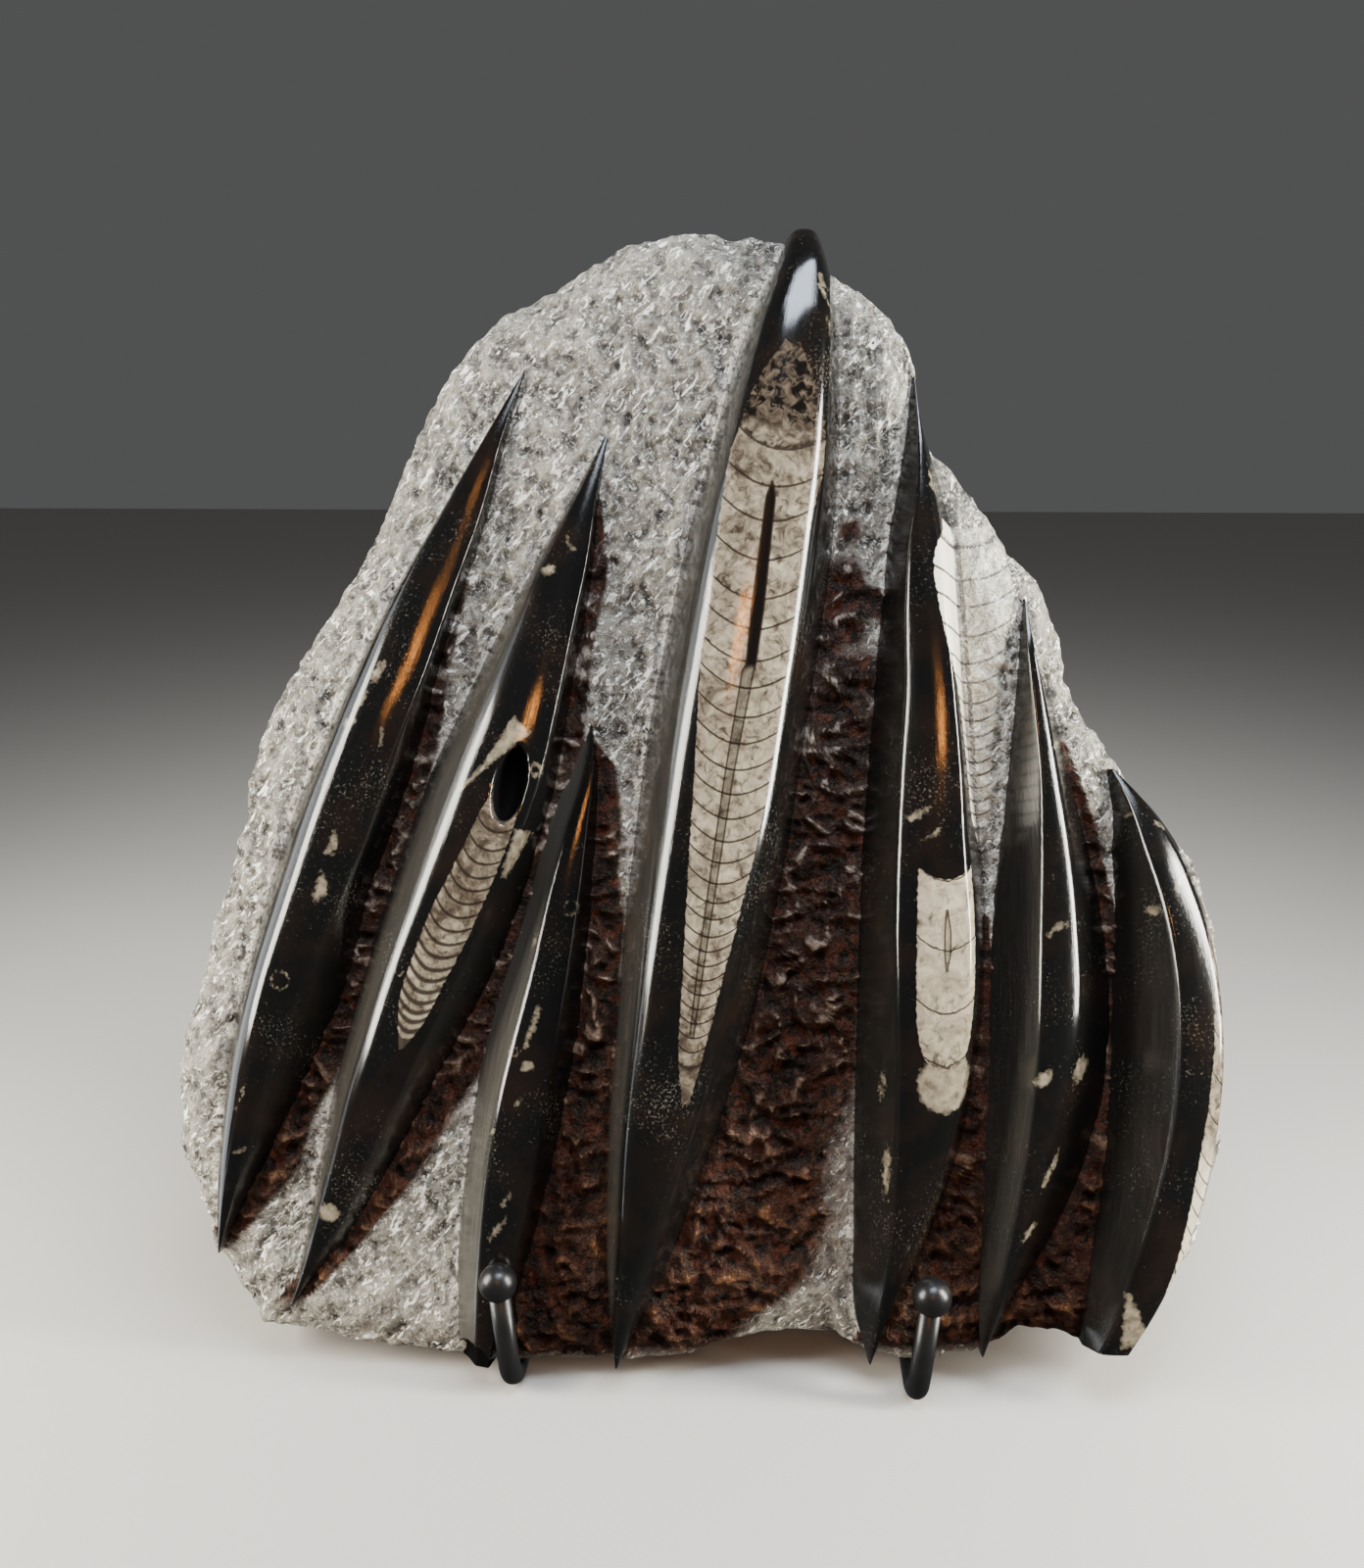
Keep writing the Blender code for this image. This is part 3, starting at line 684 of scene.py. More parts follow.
# The shell that lies half in ridge 5's right flank and half in the matrix beside it. Its mottle of -0.6
# draws it at the palest calcite all over: partly its own bleached shell, partly painted light where the
# right-hand lamp falls.
SIDE_SHELL = {
    "mouth": (73.5, 268), "apex": (81.6, 172),
    "outline": [(-3, -5, 12), (6.4, -9.2, 15.3), (17, -9.3, 16), (29, -8.1, 13.2), (44, -5.6, 9),
                (60, -4, 6.7), (75, -3.2, 5), (90, -2.4, 3.4), (97, -0.5, 0.8)],
    "septa": (3.6, 13.7, 22, 31.3, 40, 46, 52.5, 58, 63, 67, 71, 75, 79, 83.3, 87.5, 91.5),
    "sag": 0.35, "lines": [(0, 0.7), (97, 0.6)],
    "siphuncle": [(0, 0, 0.4, 0), (97, 0, 0.4, 0)], "mottle": [(0, -0.6), (97, -0.6)],
}


stone = make_stone()
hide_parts("slab")

# ---------------------------------------------------------------------------
# The seven polished ridges. The same limestone, left standing round the
# fossils, ground to blades with flat flanks and rolled crests, and polished
# until it is near black; some blades cut straight through the shells.
# ---------------------------------------------------------------------------
RIDGE_STEP = 0.72                                   # distance between rows of a ridge's mesh
RIDGE_COLUMNS = 92
RIDGE_ROOT = 14.0                                   # how deep a ridge's mesh runs into the matrix
CROWNS = {"ridge_4": 0.14, "ridge_7": 0.05}         # how far a cap arches, over its width
PLAIN_CROWN = 0.10
# How far a flank bows out, over its height; the other ridges' flanks are straight.
BOWS = {"ridge_1": 0.20, "ridge_2": 0.22, "ridge_4": 0.50}
# How far the left and the right corner are rolled, in millimetres.
ROLLS = {
    "ridge_1": (6.5, 0.8), "ridge_2": (5.5, 0.8), "ridge_3": (1.6, 0.8), "ridge_4": (6.5, 4.2),
    "ridge_5": (1.0, 2.0), "ridge_6": (1.0, 1.6), "ridge_7": (1.4, 1.2),
}
# How grey the left flanks are drawn: partly haze left by the grinding, partly painted reflection of the lit
# side; the right ones are nearly as black as the caps.
GRIND_GREY_AND_SHEEN = {"ridge_1": 0.25, "ridge_2": 0.5, "ridge_3": 1.0, "ridge_4": 0.35, "ridge_5": 0.1, "ridge_6": 0.4,
        "ridge_7": 0.15}
RIGHT_GRIND_GREY_AND_SHEEN = 0.02
# Ridge 7 runs over the slab's rim by its reach, and its root is tucked in again behind the rim.
RIM_REACH = {"ridge_7": 9.0}
RIM_TUCK = {"ridge_7": 6.0}
SKIRT_SLOPE = 1.6                                   # how steeply a flank runs on below its edge
# Hollows ground into ridges: u, v, half length, half width, turn in degrees, and depth.
HOLLOWS = {"ridge_2": (-65.6, 188.5, 12.5, 5.2, 78.0, 6.5), "ridge_3": (-77.5, 1.0, 9.0, 7.0, 90.0, 7.0)}


def turned(u, v, at_u, at_v, degrees):
    """Distances along and across a direction that is turned from u towards v."""
    c, s = math.cos(math.radians(degrees)), math.sin(math.radians(degrees))
    return (u - at_u) * c + (v - at_v) * s, (v - at_v) * c - (u - at_u) * s


def flank_share(share, bow):
    """A flank's height at a share of its width: the straight line plus a parabola that bows it out.

    Outside the flank it goes on as a straight line.
    """
    inside = np.clip(share, 0.0, 1.0)
    return inside + bow * inside * (1.0 - inside) + SKIRT_SLOPE * np.minimum(share, 0.0)


def ridge_section(name, u, lines):
    """A ridge's height: two bowed flanks up to the shoulders and an arched cap between them.

    The cap is the chord between the shoulders plus a parabola, whose rise is a share of its width.
    """
    left, left_shoulder, right_shoulder, right, left_rise, right_rise = lines
    bow, reach = BOWS.get(name, 0.0), RIM_REACH.get(name, 0.0)
    left_flank = left_rise * flank_share((u - left) / (left_shoulder - left), bow)
    right_flank = (right_rise + reach) * flank_share((right - u) / (right - right_shoulder), bow) - reach
    span = right_shoulder - left_shoulder
    share = np.clip((u - left_shoulder) / span, 0.0, 1.0)
    arch = 4.0 * CROWNS.get(name, PLAIN_CROWN) * span * share * (1.0 - share)
    cap = left_rise + (right_rise - left_rise) * share + arch
    return np.where(u < left_shoulder, left_flank, np.where(u > right_shoulder, right_flank, cap))


def scooped(name, u, v):
    """How far inside a ridge's hollow a point lies: 1 at its middle, 0 at its rim and outside."""
    if name not in HOLLOWS:
        return np.zeros_like(u)
    at_u, at_v, half_length, half_width, degrees, _ = HOLLOWS[name]
    along, across = turned(u, v, at_u, at_v, degrees)
    return np.clip(1.0 - (along / half_length) ** 2 - (across / half_width) ** 2, 0.0, 1.0)


def ridge_height(name, u, v, lines):
    """The section with its corners rolled: a bell-weighted mean of nine heights across the corner."""
    middle = (lines[1] + lines[2]) / 2.0
    left_roll, right_roll = ROLLS[name]
    roll = left_roll + (right_roll - left_roll) * ease(middle - 2.0, middle + 2.0, u)
    roll = roll * np.clip((lines[3] - lines[0]) / 25.0, 0.08, 1.0)
    total, height = 0.0, 0.0
    for step in np.linspace(-1.0, 1.0, 9):
        weight = (1.0 - step * step) + 0.1
        height = height + weight * ridge_section(name, u + step * roll, lines)
        total += weight
    height = height / total
    height = height + 0.13 * smooth_noise(u / 1.3, v / 5.0, 7.0, 22) + 0.10 * smooth_noise(u, v, 26.0, 23)
    if name in HOLLOWS:
        height = height - HOLLOWS[name][-1] * np.sqrt(scooped(name, u, v))
    return height


def polished_limestone():
    """Black limestone polished with felt and wax: a deep gloss with fine pale specks and brown clouds.

    The flanks keep long grinding marks, drawn as grey streaks in their colour: partly grinding haze and
    partly painted reflection, strongest on the left flanks that face the lit side; bits of calcite show as
    cream spots. A hollow ground into a ridge is left dull.
    """
    material, tree, shader = new_material("polished_limestone")
    where = place_in_mm(tree)
    grind = attribute(tree, "grind", "Vector")
    flank = attribute(tree, "flank", "Fac")
    clouds = remap(tree, noise(tree, where, 0.05, 4.0, 0.6), 0.46, 0.68)
    black = blend(tree, clouds, "#090909", "#160f0b")
    streaks = noise(tree, grind, 1.1, 4.0, 0.65)
    # grey streaks on the flanks: partly grinding haze, partly painted reflection
    streaked = remap(tree, streaks, 0.30, 0.75, 0.5)
    grey_haze_and_sheen = times(tree, streaked, flank)
    black = blend(tree, grey_haze_and_sheen, black, "#4a4843")
    # calcite dust, thick in some clouds and thin in others; its specks are drawn at half a millimetre,
    # coarser than the real ones, or they would not show
    dust = noise(tree, where, 1.2, 5.0, 0.72)
    zone = noise(tree, where, 0.04, 3.0)
    dust = weighted(tree, zone, 0.40, dust)
    dust = remap(tree, dust, 0.82, 0.92, 0.0, 0.6)
    black = blend(tree, dust, black, "#69645a")
    ragged = noise(tree, where, 0.55, 4.0, 0.6)
    bit = weighted(tree, ragged, 3.6, attribute(tree, "fragment", "Fac"))
    bit = remap(tree, bit, 1.85, 3.0, 0.0, 0.85)
    cream = remap(tree, noise(tree, where, 0.3, 5.0, 0.6), 0.35, 0.65)
    cream = blend(tree, cream, "#5a5246", "#978d78")
    surface = blend(tree, bit, black, cream)
    edge = weighted(tree, ragged, 1.6, attribute(tree, "shell", "Fac"))
    shell = remap(tree, edge, 0.65, 1.00)
    surface = blend(tree, shell, surface, shell_colours(tree, where))
    dull = remap(tree, attribute(tree, "scoop", "Fac"), 0.0, 0.15)
    surface = blend(tree, dull, surface, "#050404")
    shader.inputs["IOR"].default_value = 1.58
    polish = remap(tree, streaks, 0.3, 0.7, 0.09, 0.15)
    ground = remap(tree, streaks, 0.3, 0.7, 0.14, 0.22)
    polish = mix(tree, flank, polish, ground)
    polish = mix(tree, dull, polish, 0.75)
    gleam = remap(tree, dull, 0.0, 1.0, 0.5, 0.04)
    bump = add(tree, "Bump", {"Strength": 0.12, "Distance": 0.0003, "Height": streaks})
    wire(tree, shader, {"Base Color": surface, "Roughness": polish, "Specular IOR Level": gleam,
                        "Normal": bump})
    return material


def spots(u, v, places):
    """Pale bits of shell, as millimetres inside their edges.

    Each is an ellipse (u, v, half length, half width, turn, bend) about an axis that the bend curves
    to a parabola.
    """
    field = np.full_like(u, OUTSIDE)
    for at_u, at_v, half_length, half_width, degrees, bend in places:
        along, across = turned(u, v, at_u, at_v, degrees)
        across = across - bend * along ** 2
        apart = np.sqrt((along / half_length) ** 2 + (across / half_width) ** 2)
        field = np.maximum(field, (1.0 - apart) * min(half_length, half_width))
    return field


def rings(u, v, places):
    """Round shells cut across, as millimetres inside a ring (u, v, radius, half thickness)."""
    field = np.full_like(u, OUTSIDE)
    for at_u, at_v, radius, half_thickness in places:
        field = np.maximum(field, half_thickness - np.abs(np.hypot(u - at_u, v - at_v) - radius))
    return field


def splinters(u, v, places):
    """Tapered pieces of shell, as millimetres inside their edges.

    Each runs from (u, v) along its turn for its length, and narrows evenly from the first half width to
    the second: (u, v, length, half width, far half width, turn).
    """
    field = np.full_like(u, OUTSIDE)
    for at_u, at_v, length, wide, narrow, degrees in places:
        along, across = turned(u, v, at_u, at_v, degrees)
        half = wide + (narrow - wide) * np.clip(along / length, 0.0, 1.0)
        inside = np.minimum(half - np.abs(across), np.minimum(along, length - along))
        field = np.maximum(field, inside)
    return field


# Bits of shell in the polish of each ridge, as the ellipses, splinters and rings just described.
FRAGMENTS = {
    "ridge_1": [(-108.8, 223.2, 4.8, 1.9, 60, 0), (-113.0, 215.5, 4.0, 1.0, 62, 0),
                (-117.4, 207.5, 2.6, 1.9, 30, 0), (-107, 203, 3.4, 0.8, 85, 0.05),
                (-121.6, 168.4, 5.0, 1.6, 72, 0.05), (-125.0, 155.0, 5.2, 2.1, 78, 0.04),
                (-150.5, 88.0, 4.0, 0.7, 70, 0.05), (-152.5, 70.0, 3.0, 0.9, 20, 0)],
    "ridge_2": [(-55.5, 256.7, 2.7, 2.1, 20, 0), (-49.2, 264.6, 3.4, 0.9, -55, 0.12),
                (-123.7, 50.3, 3.7, 3.5, 0, 0)],
    "ridge_3": [(-59.9, 99.6, 2.4, 2.1, 0, 0), (-58.4, 112, 7.0, 1.3, 72, 0),
                (-68.7, 47.9, 5.0, 1.3, 55, 0), (-58.6, 138.8, 4.4, 0.9, 75, 0),
                (-66.0, 57.0, 2.6, 0.9, 60, 0), (-71.0, 78.0, 2.0, 0.8, 50, 0),
                (-62.5, 88.0, 2.4, 0.8, 60, 0.1)],
    "ridge_4": [(29.0, 344.0, 3.0, 1.2, -60, 0.1), (31.5, 330.0, 4.0, 0.6, -80, 0)],
    "ridge_5": [(53.2, 69.8, 9.0, 1.3, 88, 0), (51.5, 96.0, 5.0, 0.8, 86, 0),
                (60.0, 181.0, 5.0, 1.6, 30, 0), (70.2, 99.0, 10.0, 9.0, 80, 0),
                (66.0, 176.0, 4.0, 1.1, 50, 0.05), (64.5, 284.0, 4.6, 1.2, -70, 0.05)],
    "ridge_6": [(103.8, 147.5, 5.4, 1.3, 28, -0.06), (112.4, 103.0, 5.0, 2.8, 68, 0),
                (100.0, 101.0, 3.6, 2.4, 40, 0), (103.4, 71.2, 6.5, 1.4, 68, 0),
                (97.8, 51.5, 4.6, 1.3, 60, 0), (103.5, 203.0, 2.0, 1.5, 40, 0)],
    "ridge_7": [(127.1, 181.4, 2.8, 0.8, 20, 0.2), (137.1, 178, 3.8, 0.9, -15, 0.12),
                (140.3, 161.4, 4.8, 1.5, 58, -0.08), (123.8, 159.6, 3.2, 1.0, 55, 0.1),
                (133.1, 152.6, 2.0, 1.8, 0, 0), (114.5, 44.5, 3.6, 1.7, -65, 0)],
}
SPLINTERS = {
    "ridge_2": [(-61.6, 207.6, 17.0, 4.2, 1.3, -132), (-72.0, 195.6, 14.0, 1.3, 0.9, -136),
                (-61.5, 174.5, 17.0, 2.6, 0.8, -112)],
    "ridge_4": [(27.5, 344.0, 14.0, 1.0, 0.5, -58)],
    "ridge_7": [(127.0, 35.5, 20.0, 1.0, 5.5, -76)],
}
RINGS = {
    "ridge_1": [(-137.9, 125.8, 2.8, 0.45)],
    "ridge_2": [(-57.8, 193.2, 1.7, 0.8), (-100.0, 130.0, 1.6, 0.4)],
    "ridge_3": [(-47.0, 149.5, 2.1, 0.5), (-64.5, 104.0, 1.6, 0.4)],
}
# Chambered shells that the carver cut open along the crests.
SHELLS = {
    "ridge_2": [{
        "mouth": (-66.5, 182.5), "apex": (-97.5, 108),
        "outline": [(-1, -5.5, 3.6), (4, -6.3, 4.6), (16, -6.8, 5.4), (26, -7.4, 5.6), (38, -8.4, 5.4),
                    (48, -8.4, 5), (60, -7.7, 4), (70, -6.6, 3.4), (79, -3.2, 1.8), (84, -1, 0)],
        "septa": (2.3, 9.6, 15.8, 20.4, 25.2, 29.6, 34.1, 38.9, 43.7, 48.2, 52.7, 57.1, 60.8, 64.7, 68.4,
                  71.7, 74.7, 78, 81),
        "sag": 0.5, "lines": [(0, 0.7), (42, 0.8), (56, 1.3), (84, 1.5)],
        "siphuncle": [(0, 0, 0, 0), (84, 0, 0, 0)],
        "mottle": [(0, 1.05), (35, 0.95), (55, 0.75), (84, 0.5)],
    }],
    "ridge_4": [{
        "mouth": (19.5, 322), "apex": (-8.5, 93),
        "outline": [(-2, -2, 3), (5, -6.2, 7), (12.8, -9.4, 10.8), (23.6, -12, 14.2), (34, -14, 15),
                    (45, -14.3, 13.8), (60, -14.5, 12.9), (90, -14.6, 13.3), (117, -12.6, 12.6),
                    (132, -11.3, 11.6), (150, -10, 10.4), (171, -8.4, 8.2), (195, -6.4, 5.4),
                    (219, -4.4, 2.6), (233, -1.5, 0.5)],
        "septa": (31, 42.4, 53, 65, 77, 86, 96, 104, 113, 121, 129, 136.5, 144, 151, 157.5, 164, 170, 175,
                  180.5, 185, 189.5, 194, 198.5, 203, 207.5, 212, 216.5, 221),
        "sag": 0.46, "lines": [(0, 0.8), (90, 0.6), (180, 0.55), (233, 0.5)],
        "siphuncle": [(41, 0.2, 0.3, 1), (46, 0.3, 1.4, 1), (80, 0.9, 1.9, 1), (97, 1.2, 1.5, 1),
                      (98.5, 0.6, 1.7, 0.2), (130, -0.8, 1.3, 0.2), (185, -1.5, 1.0, 0.2),
                      (212, -1.4, 0.6, 0.2)],
        "mottle": [(0, 1.5), (21, 1.4), (25, 0.9), (60, 0.7), (120, 0.6), (190, 0.65), (233, 1.1)],
    }],
    "ridge_5": [{
        "mouth": (69.2, 168), "apex": (70.2, 90),
        "outline": [(6.5, -8.6, 8), (20, -8.9, 8.8), (37, -9, 9), (50, -8.8, 8.2), (57, -7.8, 7.2),
                    (62, -6.0, 5.4), (65, -2.5, 2.0)],
        "septa": (7, 28, 47.3, 63.5), "sag": 0.5, "lines": [(0, 0.5), (78, 0.5)],
        "siphuncle": [(14, 0, 0, 0), (17, 0, 0.3, 0), (22, 0.2, 0.9, 0), (29, 0.2, 0.9, 0), (33, 0, 0.3, 0),
                      (36, 0, 0, 0)],
        "mottle": [(0, 0.3), (45, 0.4), (60, 0.5), (65, 0.8)],
    }, SIDE_SHELL],
    "ridge_7": [{
        "mouth": (153, 156), "apex": (143, 28),
        "outline": [(0, -4.5, 14), (18.7, -2.6, 14), (33.5, -0.6, 14), (60, 0.1, 14), (82, -1.1, 14),
                    (97, -1.8, 13), (112, -2.8, 10), (124, -4, 6), (130, -3, 0)],
        "septa": (8, 20, 32, 44, 56, 68, 81.3, 87, 92.3, 97.8, 104.6, 111.7, 118),
        "sag": 0.8, "lines": [(0, 0.5), (130, 0.5)], "siphuncle": [(0, 0, 0, 0), (130, 0, 0, 0)],
        "mottle": [(0, 0.8), (70, 0.7), (80, 0.05), (130, 0.0)],
    }],
}
POLISH = polished_limestone()


def make_ridge(name):
    """Rows across the ridge from foot to tip, each a loop: down into the matrix, over the section, back."""
    foot, tip = RIDGES[name][-1][0], RIDGES[name][0][0]
    count = int((tip - foot) / RIDGE_STEP)
    turn = np.linspace(0.0, math.pi, count)
    v = foot + (tip - foot) * (0.35 * (0.5 - 0.5 * np.cos(turn)) + 0.65 * turn / math.pi)
    lines = [row[:, None] for row in ridge_lines(name, v)]
    left, right = lines[0], lines[3]
    share = np.linspace(0.0, 1.0, RIDGE_COLUMNS)[None, :]
    u = left + share * (right - left)
    v = np.broadcast_to(v[:, None], u.shape)
    w = ridge_height(name, u, v, lines)
    flank = np.maximum(GRIND_GREY_AND_SHEEN[name] * ease(lines[1] + 1.0, lines[1] - 1.5, u),
                       RIGHT_GRIND_GREY_AND_SHEEN * ease(lines[2] - 1.0, lines[2] + 1.5, u))
    to_end = np.minimum(v[:, :1] - foot, tip - v[:, :1])
    root = -5.0 - (RIDGE_ROOT - 5.0) * ease(0.0, 20.0, to_end) - RIM_REACH.get(name, 0.0)
    u, v, flank, share = [np.hstack([grid[:, :1], grid, grid[:, -1:]])
                          for grid in (u, v, flank, np.broadcast_to(share, u.shape))]
    w = np.hstack([root, w, root])
    u[:, -1] = u[:, -1] - RIM_TUCK.get(name, 0.0)
    points = stand_up(u, v, w).reshape(-1, 3)
    points[:, 2] = np.maximum(points[:, 2], SEAT_Z)
    columns = RIDGE_COLUMNS + 2
    ends = [np.arange(columns)[None, :], (len(points) - columns + np.arange(columns))[None, ::-1]]
    faces = [grid_faces(count, columns, wrap=True)] + ends
    flat_u, flat_v = u.ravel(), v.ravel()
    fragment = np.maximum.reduce([
        draw(flat_u, flat_v, places.get(name, []))
        for draw, places in ((spots, FRAGMENTS), (rings, RINGS), (splinters, SPLINTERS))
    ])
    grind = np.stack([share.ravel() * 60.0, flat_v * 0.05, np.zeros_like(flat_u)], axis=-1)
    shells = shell_attributes(flat_u, flat_v, SHELLS.get(name, []))
    piece = make_piece(f"polished_{name}", points, faces, POLISH, fragment=fragment, grind=grind,
                       flank=flank.ravel(), scoop=scooped(name, flat_u, flat_v), **shells)
    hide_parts(name)


for ridge_name in RIDGES:
    make_ridge(ridge_name)

# ---------------------------------------------------------------------------
# The stand. Two bent steel rods, 7 mm thick, each a prong, a floor run and a
# rear strut, with a drilled ball pressed on each prong and two crossbars
# welded between them, all powder coated satin black.
# ---------------------------------------------------------------------------
ROD_RADIUS = 3.5
ROD_SIDES = 40
BALL_RADIUS = 6.0
BALL_SIDES = 48
SIDE_ROD_X, PRONG_SPLAY, PRONG_LEAN = 64.7, 2.7, 3.0
BALL_HEIGHT, SOCKET_DEPTH = 43.0, 4.0
GAP = 0.3                                           # left between neighbouring pieces
STAND_Y = -70.13                                    # where the prongs come down
REAR_BEND_Y, LOWER_BAR_Y = 152.0, 126.0
UPPER_BAR_V, UPPER_BAR_LENGTH = 178.0, 156.0
FRONT_BEND_RADIUS, REAR_BEND_RADIUS = 9.0, 14.0
WELD_FLARE, WELD_LENGTH = 0.9, 2.4


def black_powder_coat():
    """Powder-coated steel: satin black with the faint orange peel of baked powder."""
    material, tree, shader = new_material("black_powder_coat")
    where = place_in_mm(tree)
    peel = noise(tree, where, 1.3, 2.0)
    worn = noise(tree, where, 0.08, 4.0)
    coat = blend(tree, worn, "#0b0b0c", "#19191a")
    satin = remap(tree, worn, 0.0, 1.0, 0.26, 0.42)
    bump = add(tree, "Bump", {"Strength": 0.18, "Distance": 0.0002, "Height": peel})
    wire(tree, shader, {"Base Color": coat, "Roughness": satin, "Normal": bump})
    return material


POWDER_COAT = black_powder_coat()


def unit(vectors):
    """A vector, or rows of them, scaled to a length of 1."""
    return vectors / np.linalg.norm(vectors, axis=-1, keepdims=True)


def rounded_path(corners, radii, steps=14):
    """Straight runs joined by arcs: each arc turns about the point that its radius sets on the bisector."""
    path = [corners[0]]
    for before, corner, after, radius in zip(corners, corners[1:], corners[2:], radii):
        to_before, to_after = unit(before - corner), unit(after - corner)
        half = math.acos(float(to_before @ to_after)) / 2.0
        centre = corner + unit(to_before + to_after) * radius / math.sin(half)
        start = corner + to_before * radius / math.tan(half) - centre
        end = corner + to_after * radius / math.tan(half) - centre
        sweep = math.pi - 2.0 * half
        share = np.linspace(0.0, 1.0, steps)[:, None]
        arc = (np.sin((1 - share) * sweep) * start + np.sin(share * sweep) * end) / math.sin(sweep)
        path.extend(centre + arc)
    path.append(corners[-1])
    return np.array(path)


def make_round(name, centres, radii, side, lift, sides, node):
    """A round piece: circles of the given radii about the centres, and a flat disc at each end."""
    turn = 2.0 * math.pi * np.arange(sides)[:, None] / sides
    circle = np.cos(turn) * side[..., None, :] + np.sin(turn) * lift[..., None, :]
    points = (centres[:, None] + radii[:, None, None] * circle).reshape(-1, 3)
    points[:, 2] = np.maximum(points[:, 2], 0.0)    # a weld is dressed flush where it meets the table
    ends = [np.arange(sides)[None, ::-1], len(points) - sides + np.arange(sides)[None, :]]
    piece = make_piece(name, points, [grid_faces(len(centres), sides, wrap=True)] + ends, POWDER_COAT)
    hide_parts(node)


def make_tube(name, path, radii, node):
    """A round rod: circles square to the path, each set by a level direction made square to it."""
    tangent = unit(np.gradient(path, axis=0))
    level = np.array([0.0, 1.0, 0.0]) if abs(tangent[0, 0]) > 0.9 else np.array([1.0, 0.0, 0.0])
    side = unit(level - tangent * (tangent @ level)[:, None])
    make_round(name, path, radii, side, np.cross(tangent, side), ROD_SIDES, node)


def along_line(start, end, count):
    """Evenly spaced points from start to end."""
    return start + (end - start) * np.linspace(0.0, 1.0, count)[:, None]


def weld_radii(path, ends):
    """The rod's radius, swelling over the last couple of millimetres at each welded end."""
    length = np.concatenate([[0.0], np.cumsum(np.linalg.norm(np.diff(path, axis=0), axis=1))])
    radii = np.full(len(path), ROD_RADIUS)
    for to_end in [length] * (0 in ends) + [length[-1] - length] * (1 in ends):
        radii += WELD_FLARE * np.clip(1.0 - to_end / WELD_LENGTH, 0.0, 1.0) ** 2
    return radii


def upper_bar_centre():
    """The middle of the upper crossbar, which lies a gap behind the slab's back."""
    behind = SLAB_THICKNESS + ROD_RADIUS + GAP
    y = SEAT_Y + UPPER_BAR_V * math.sin(LEAN) + behind * math.cos(LEAN)
    z = SEAT_Z + UPPER_BAR_V * math.cos(LEAN) - behind * math.sin(LEAN)
    return np.array([SEAT_X, y, z])


def make_side(side, sign):
    """A side rod and its ball: prong, floor run and rear strut in one bent rod."""
    x = SEAT_X + sign * SIDE_ROD_X
    ball = np.array([x + sign * PRONG_SPLAY, STAND_Y - PRONG_LEAN, BALL_HEIGHT])
    front_bend = np.array([x, STAND_Y, ROD_RADIUS])
    rear_bend = np.array([x, STAND_Y + REAR_BEND_Y, ROD_RADIUS])
    strut_top = upper_bar_centre() + np.array([sign * SIDE_ROD_X, 0.0, 0.0])
    up_prong, up_strut = unit(ball - front_bend), unit(strut_top - rear_bend)
    prong_end = ball - up_prong * (BALL_RADIUS - SOCKET_DEPTH + GAP)
    strut_end = strut_top - up_strut * (ROD_RADIUS + GAP)
    corners = [prong_end, front_bend, rear_bend, strut_end]
    bends = rounded_path(corners, (FRONT_BEND_RADIUS, REAR_BEND_RADIUS))
    near_weld = along_line(strut_end - up_strut * WELD_LENGTH, strut_end, 8)
    path = np.vstack([bends[:-1], near_weld])
    make_tube(f"rod_{side}", path, weld_radii(path, {1}), f"{side}_side_rod")
    make_ball(f"ball_{side}", ball, up_prong, f"{side}_ball")


def make_ball(name, centre, up, node):
    """A turned ball: its half circle and the socket drilled from below, spun about the prong."""
    socket = ROD_RADIUS + GAP
    start = math.asin(socket / BALL_RADIUS)
    sweep = np.linspace(start, math.pi - 0.02, 40)
    radius = np.concatenate([[0.02, socket], BALL_RADIUS * np.sin(sweep)])
    height = np.concatenate([[SOCKET_DEPTH - BALL_RADIUS] * 2, -BALL_RADIUS * np.cos(sweep)])
    side = unit(np.cross(up, [0.0, 1.0, 0.0]))
    make_round(name, centre + height[:, None] * up, radius, side, np.cross(up, side), BALL_SIDES, node)


def make_crossbar(name, centre, length, ends, node):
    """A straight bar along X, swollen where it is welded."""
    half = np.array([length / 2.0, 0.0, 0.0])
    inner = half - np.array([WELD_LENGTH, 0.0, 0.0])
    path = np.vstack([along_line(centre - half, centre - inner, 8),
                      along_line(centre - inner, centre + inner, 12)[1:],
                      along_line(centre + inner, centre + half, 8)[1:]])
    make_tube(name, path, weld_radii(path, ends), node)


for side_name, side_sign in (("left", -1.0), ("right", 1.0)):
    make_side(side_name, side_sign)
between_rods = 2.0 * (SIDE_ROD_X - ROD_RADIUS - GAP)
lower_centre = np.array([SEAT_X, STAND_Y + LOWER_BAR_Y, ROD_RADIUS])
make_crossbar("crossbar_lower", lower_centre, between_rods, {0, 1}, "lower_crossbar")
make_crossbar("crossbar_upper", upper_bar_centre(), UPPER_BAR_LENGTH, set(), "upper_crossbar")

# ---------------------------------------------------------------------------
# The studio: a plain pale floor, four soft boxes and one small warm lamp.
# ---------------------------------------------------------------------------
FLOOR_HALF = 4000.0
FACE_MIDDLE = (0.0, 180.0, 10.0)                    # u, v and height; the lamps look here


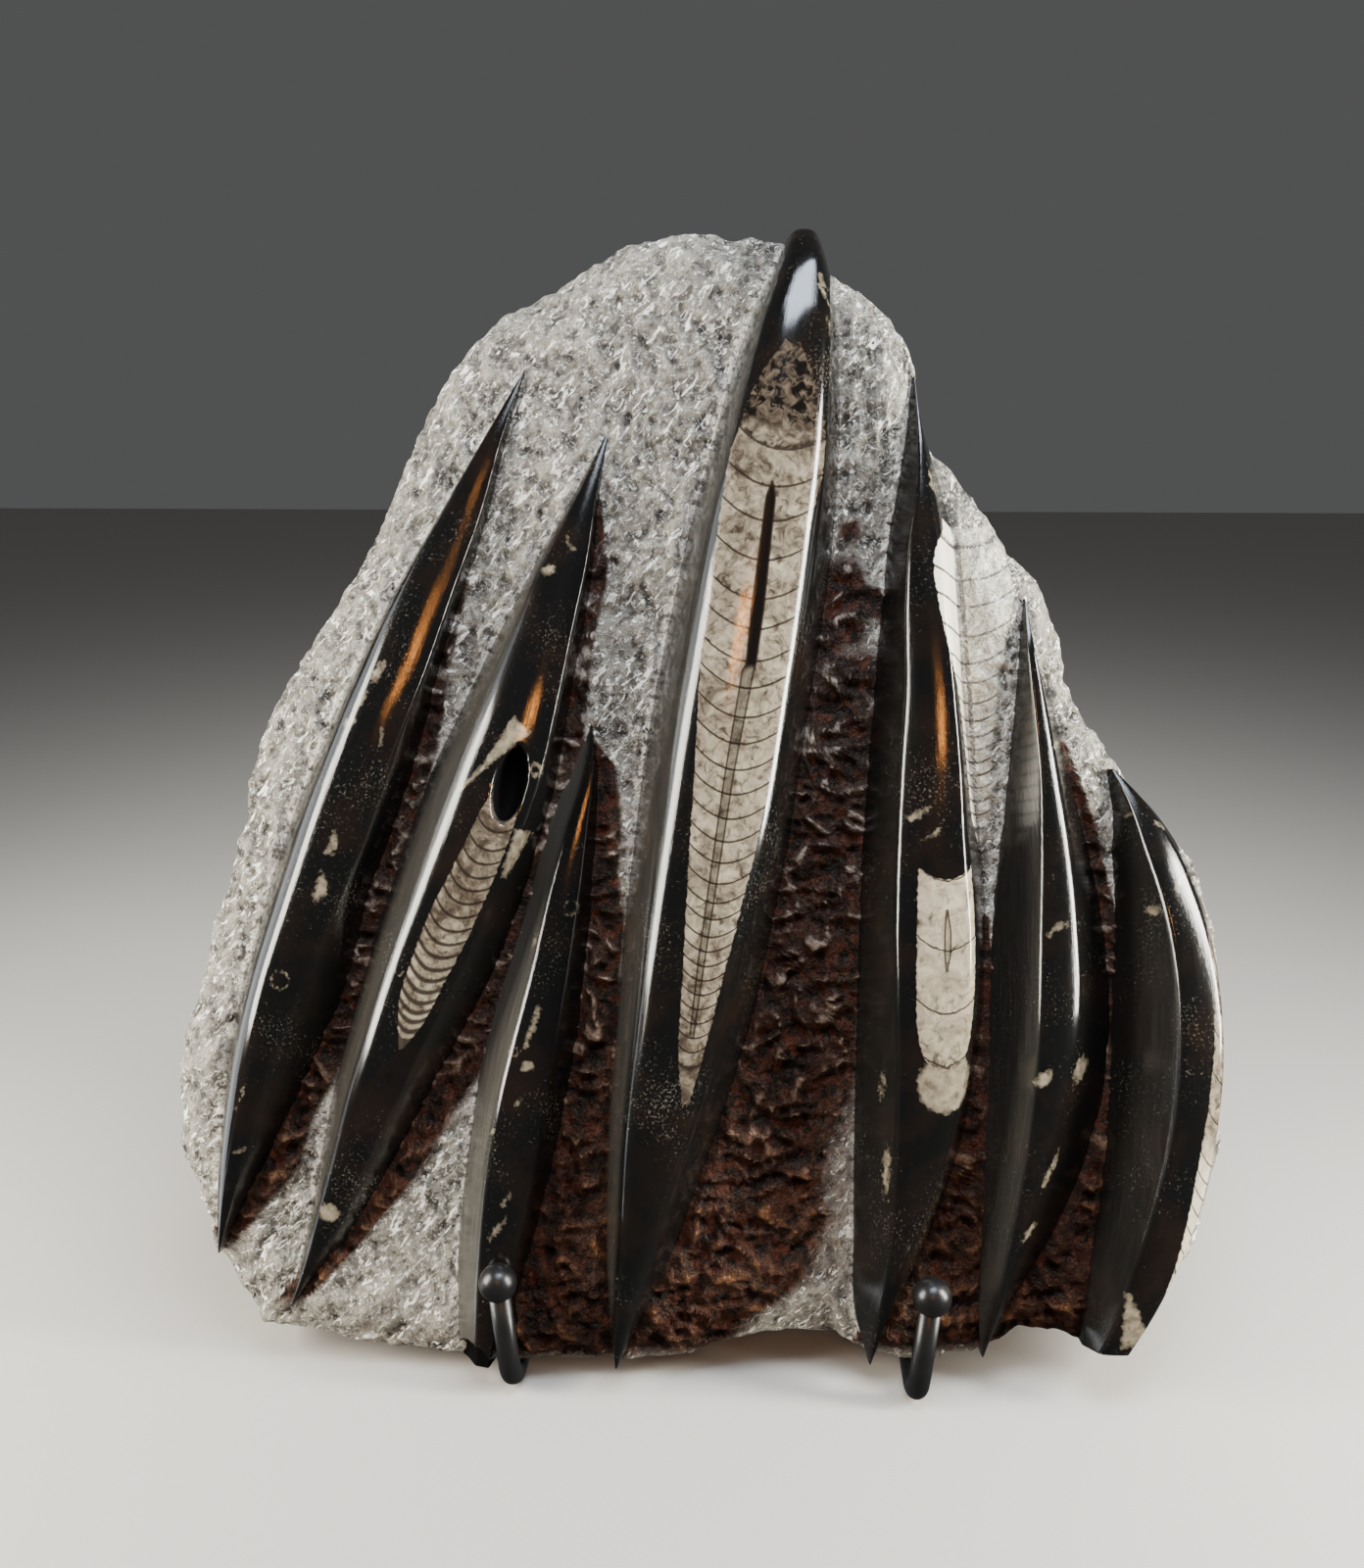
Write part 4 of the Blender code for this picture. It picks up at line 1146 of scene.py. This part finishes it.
def make_floor():
    """A plain pale floor, which is not part of the object."""
    mesh = bpy.data.meshes.new("floor")
    corners = [(-1, -1, 0), (1, -1, 0), (1, 1, 0), (-1, 1, 0)]
    mesh.from_pydata([Vector(c) * FLOOR_HALF * MM for c in corners], [], [(0, 1, 2, 3)])
    material, _, shader = new_material("pale_floor")
    shader.inputs["Base Color"].default_value = linear("#bdbab5")
    shader.inputs["Roughness"].default_value = 0.9
    mesh.materials.append(material)
    floor = put("floor", mesh)
    floor.visible_glossy = False                    # a black flag keeps the polish from mirroring it


def make_lamp(name, across, up, out, size, watts, colour):
    """A soft box at a place given from the middle of the slab's face, turned towards it."""
    target = Vector(stand_up(*FACE_MIDDLE)) * MM
    lamp = bpy.data.lights.new(name, "AREA")
    lamp.shape = "RECTANGLE"
    lamp.size, lamp.size_y = size
    lamp.energy = watts
    lamp.color = linear(colour)[:3]
    box = put(name, lamp)
    box.location = Vector(stand_up(*np.add(FACE_MIDDLE, (across, up, out)))) * MM
    box.rotation_euler = (target - box.location).to_track_quat("-Z", "Y").to_euler()


make_floor()
make_lamp("key_left", -560.0, 70.0, 210.0, (0.22, 0.40), 9.4, "#fff9ec")
make_lamp("left_wall", -620.0, 0.0, -60.0, (0.30, 0.80), 2.4, "#e9eef2")
make_lamp("right_strip", 520.0, 60.0, 150.0, (0.10, 0.40), 11.0, "#fbf8ee")
make_lamp("top", 100.0, 520.0, 370.0, (0.40, 0.22), 6.5, "#e4f0ff")
make_lamp("warm_front", 20.0, 150.0, 760.0, (0.035, 0.09), 0.8, "#ffa450")

world = bpy.data.worlds.new("studio")
world.use_nodes = True
sky = world.node_tree.nodes["Background"]
sky.inputs["Color"].default_value = linear("#c9cacb")
sky.inputs["Strength"].default_value = 0.15
bpy.context.scene.world = world

CAMERA_PLACE = (18.55, -442.63, 306.0)
CAMERA_PITCH, CAMERA_TURN = 15.2, 3.1
camera_data = bpy.data.cameras.new("camera")
camera_data.lens = 31.5
camera_data.sensor_width = 36.0
camera_data.clip_start = 0.01
camera = put("camera", camera_data)
camera.location = Vector(CAMERA_PLACE) * MM
camera.rotation_euler = (math.radians(90.0 - CAMERA_PITCH), 0.0, math.radians(CAMERA_TURN))
bpy.context.scene.camera = camera
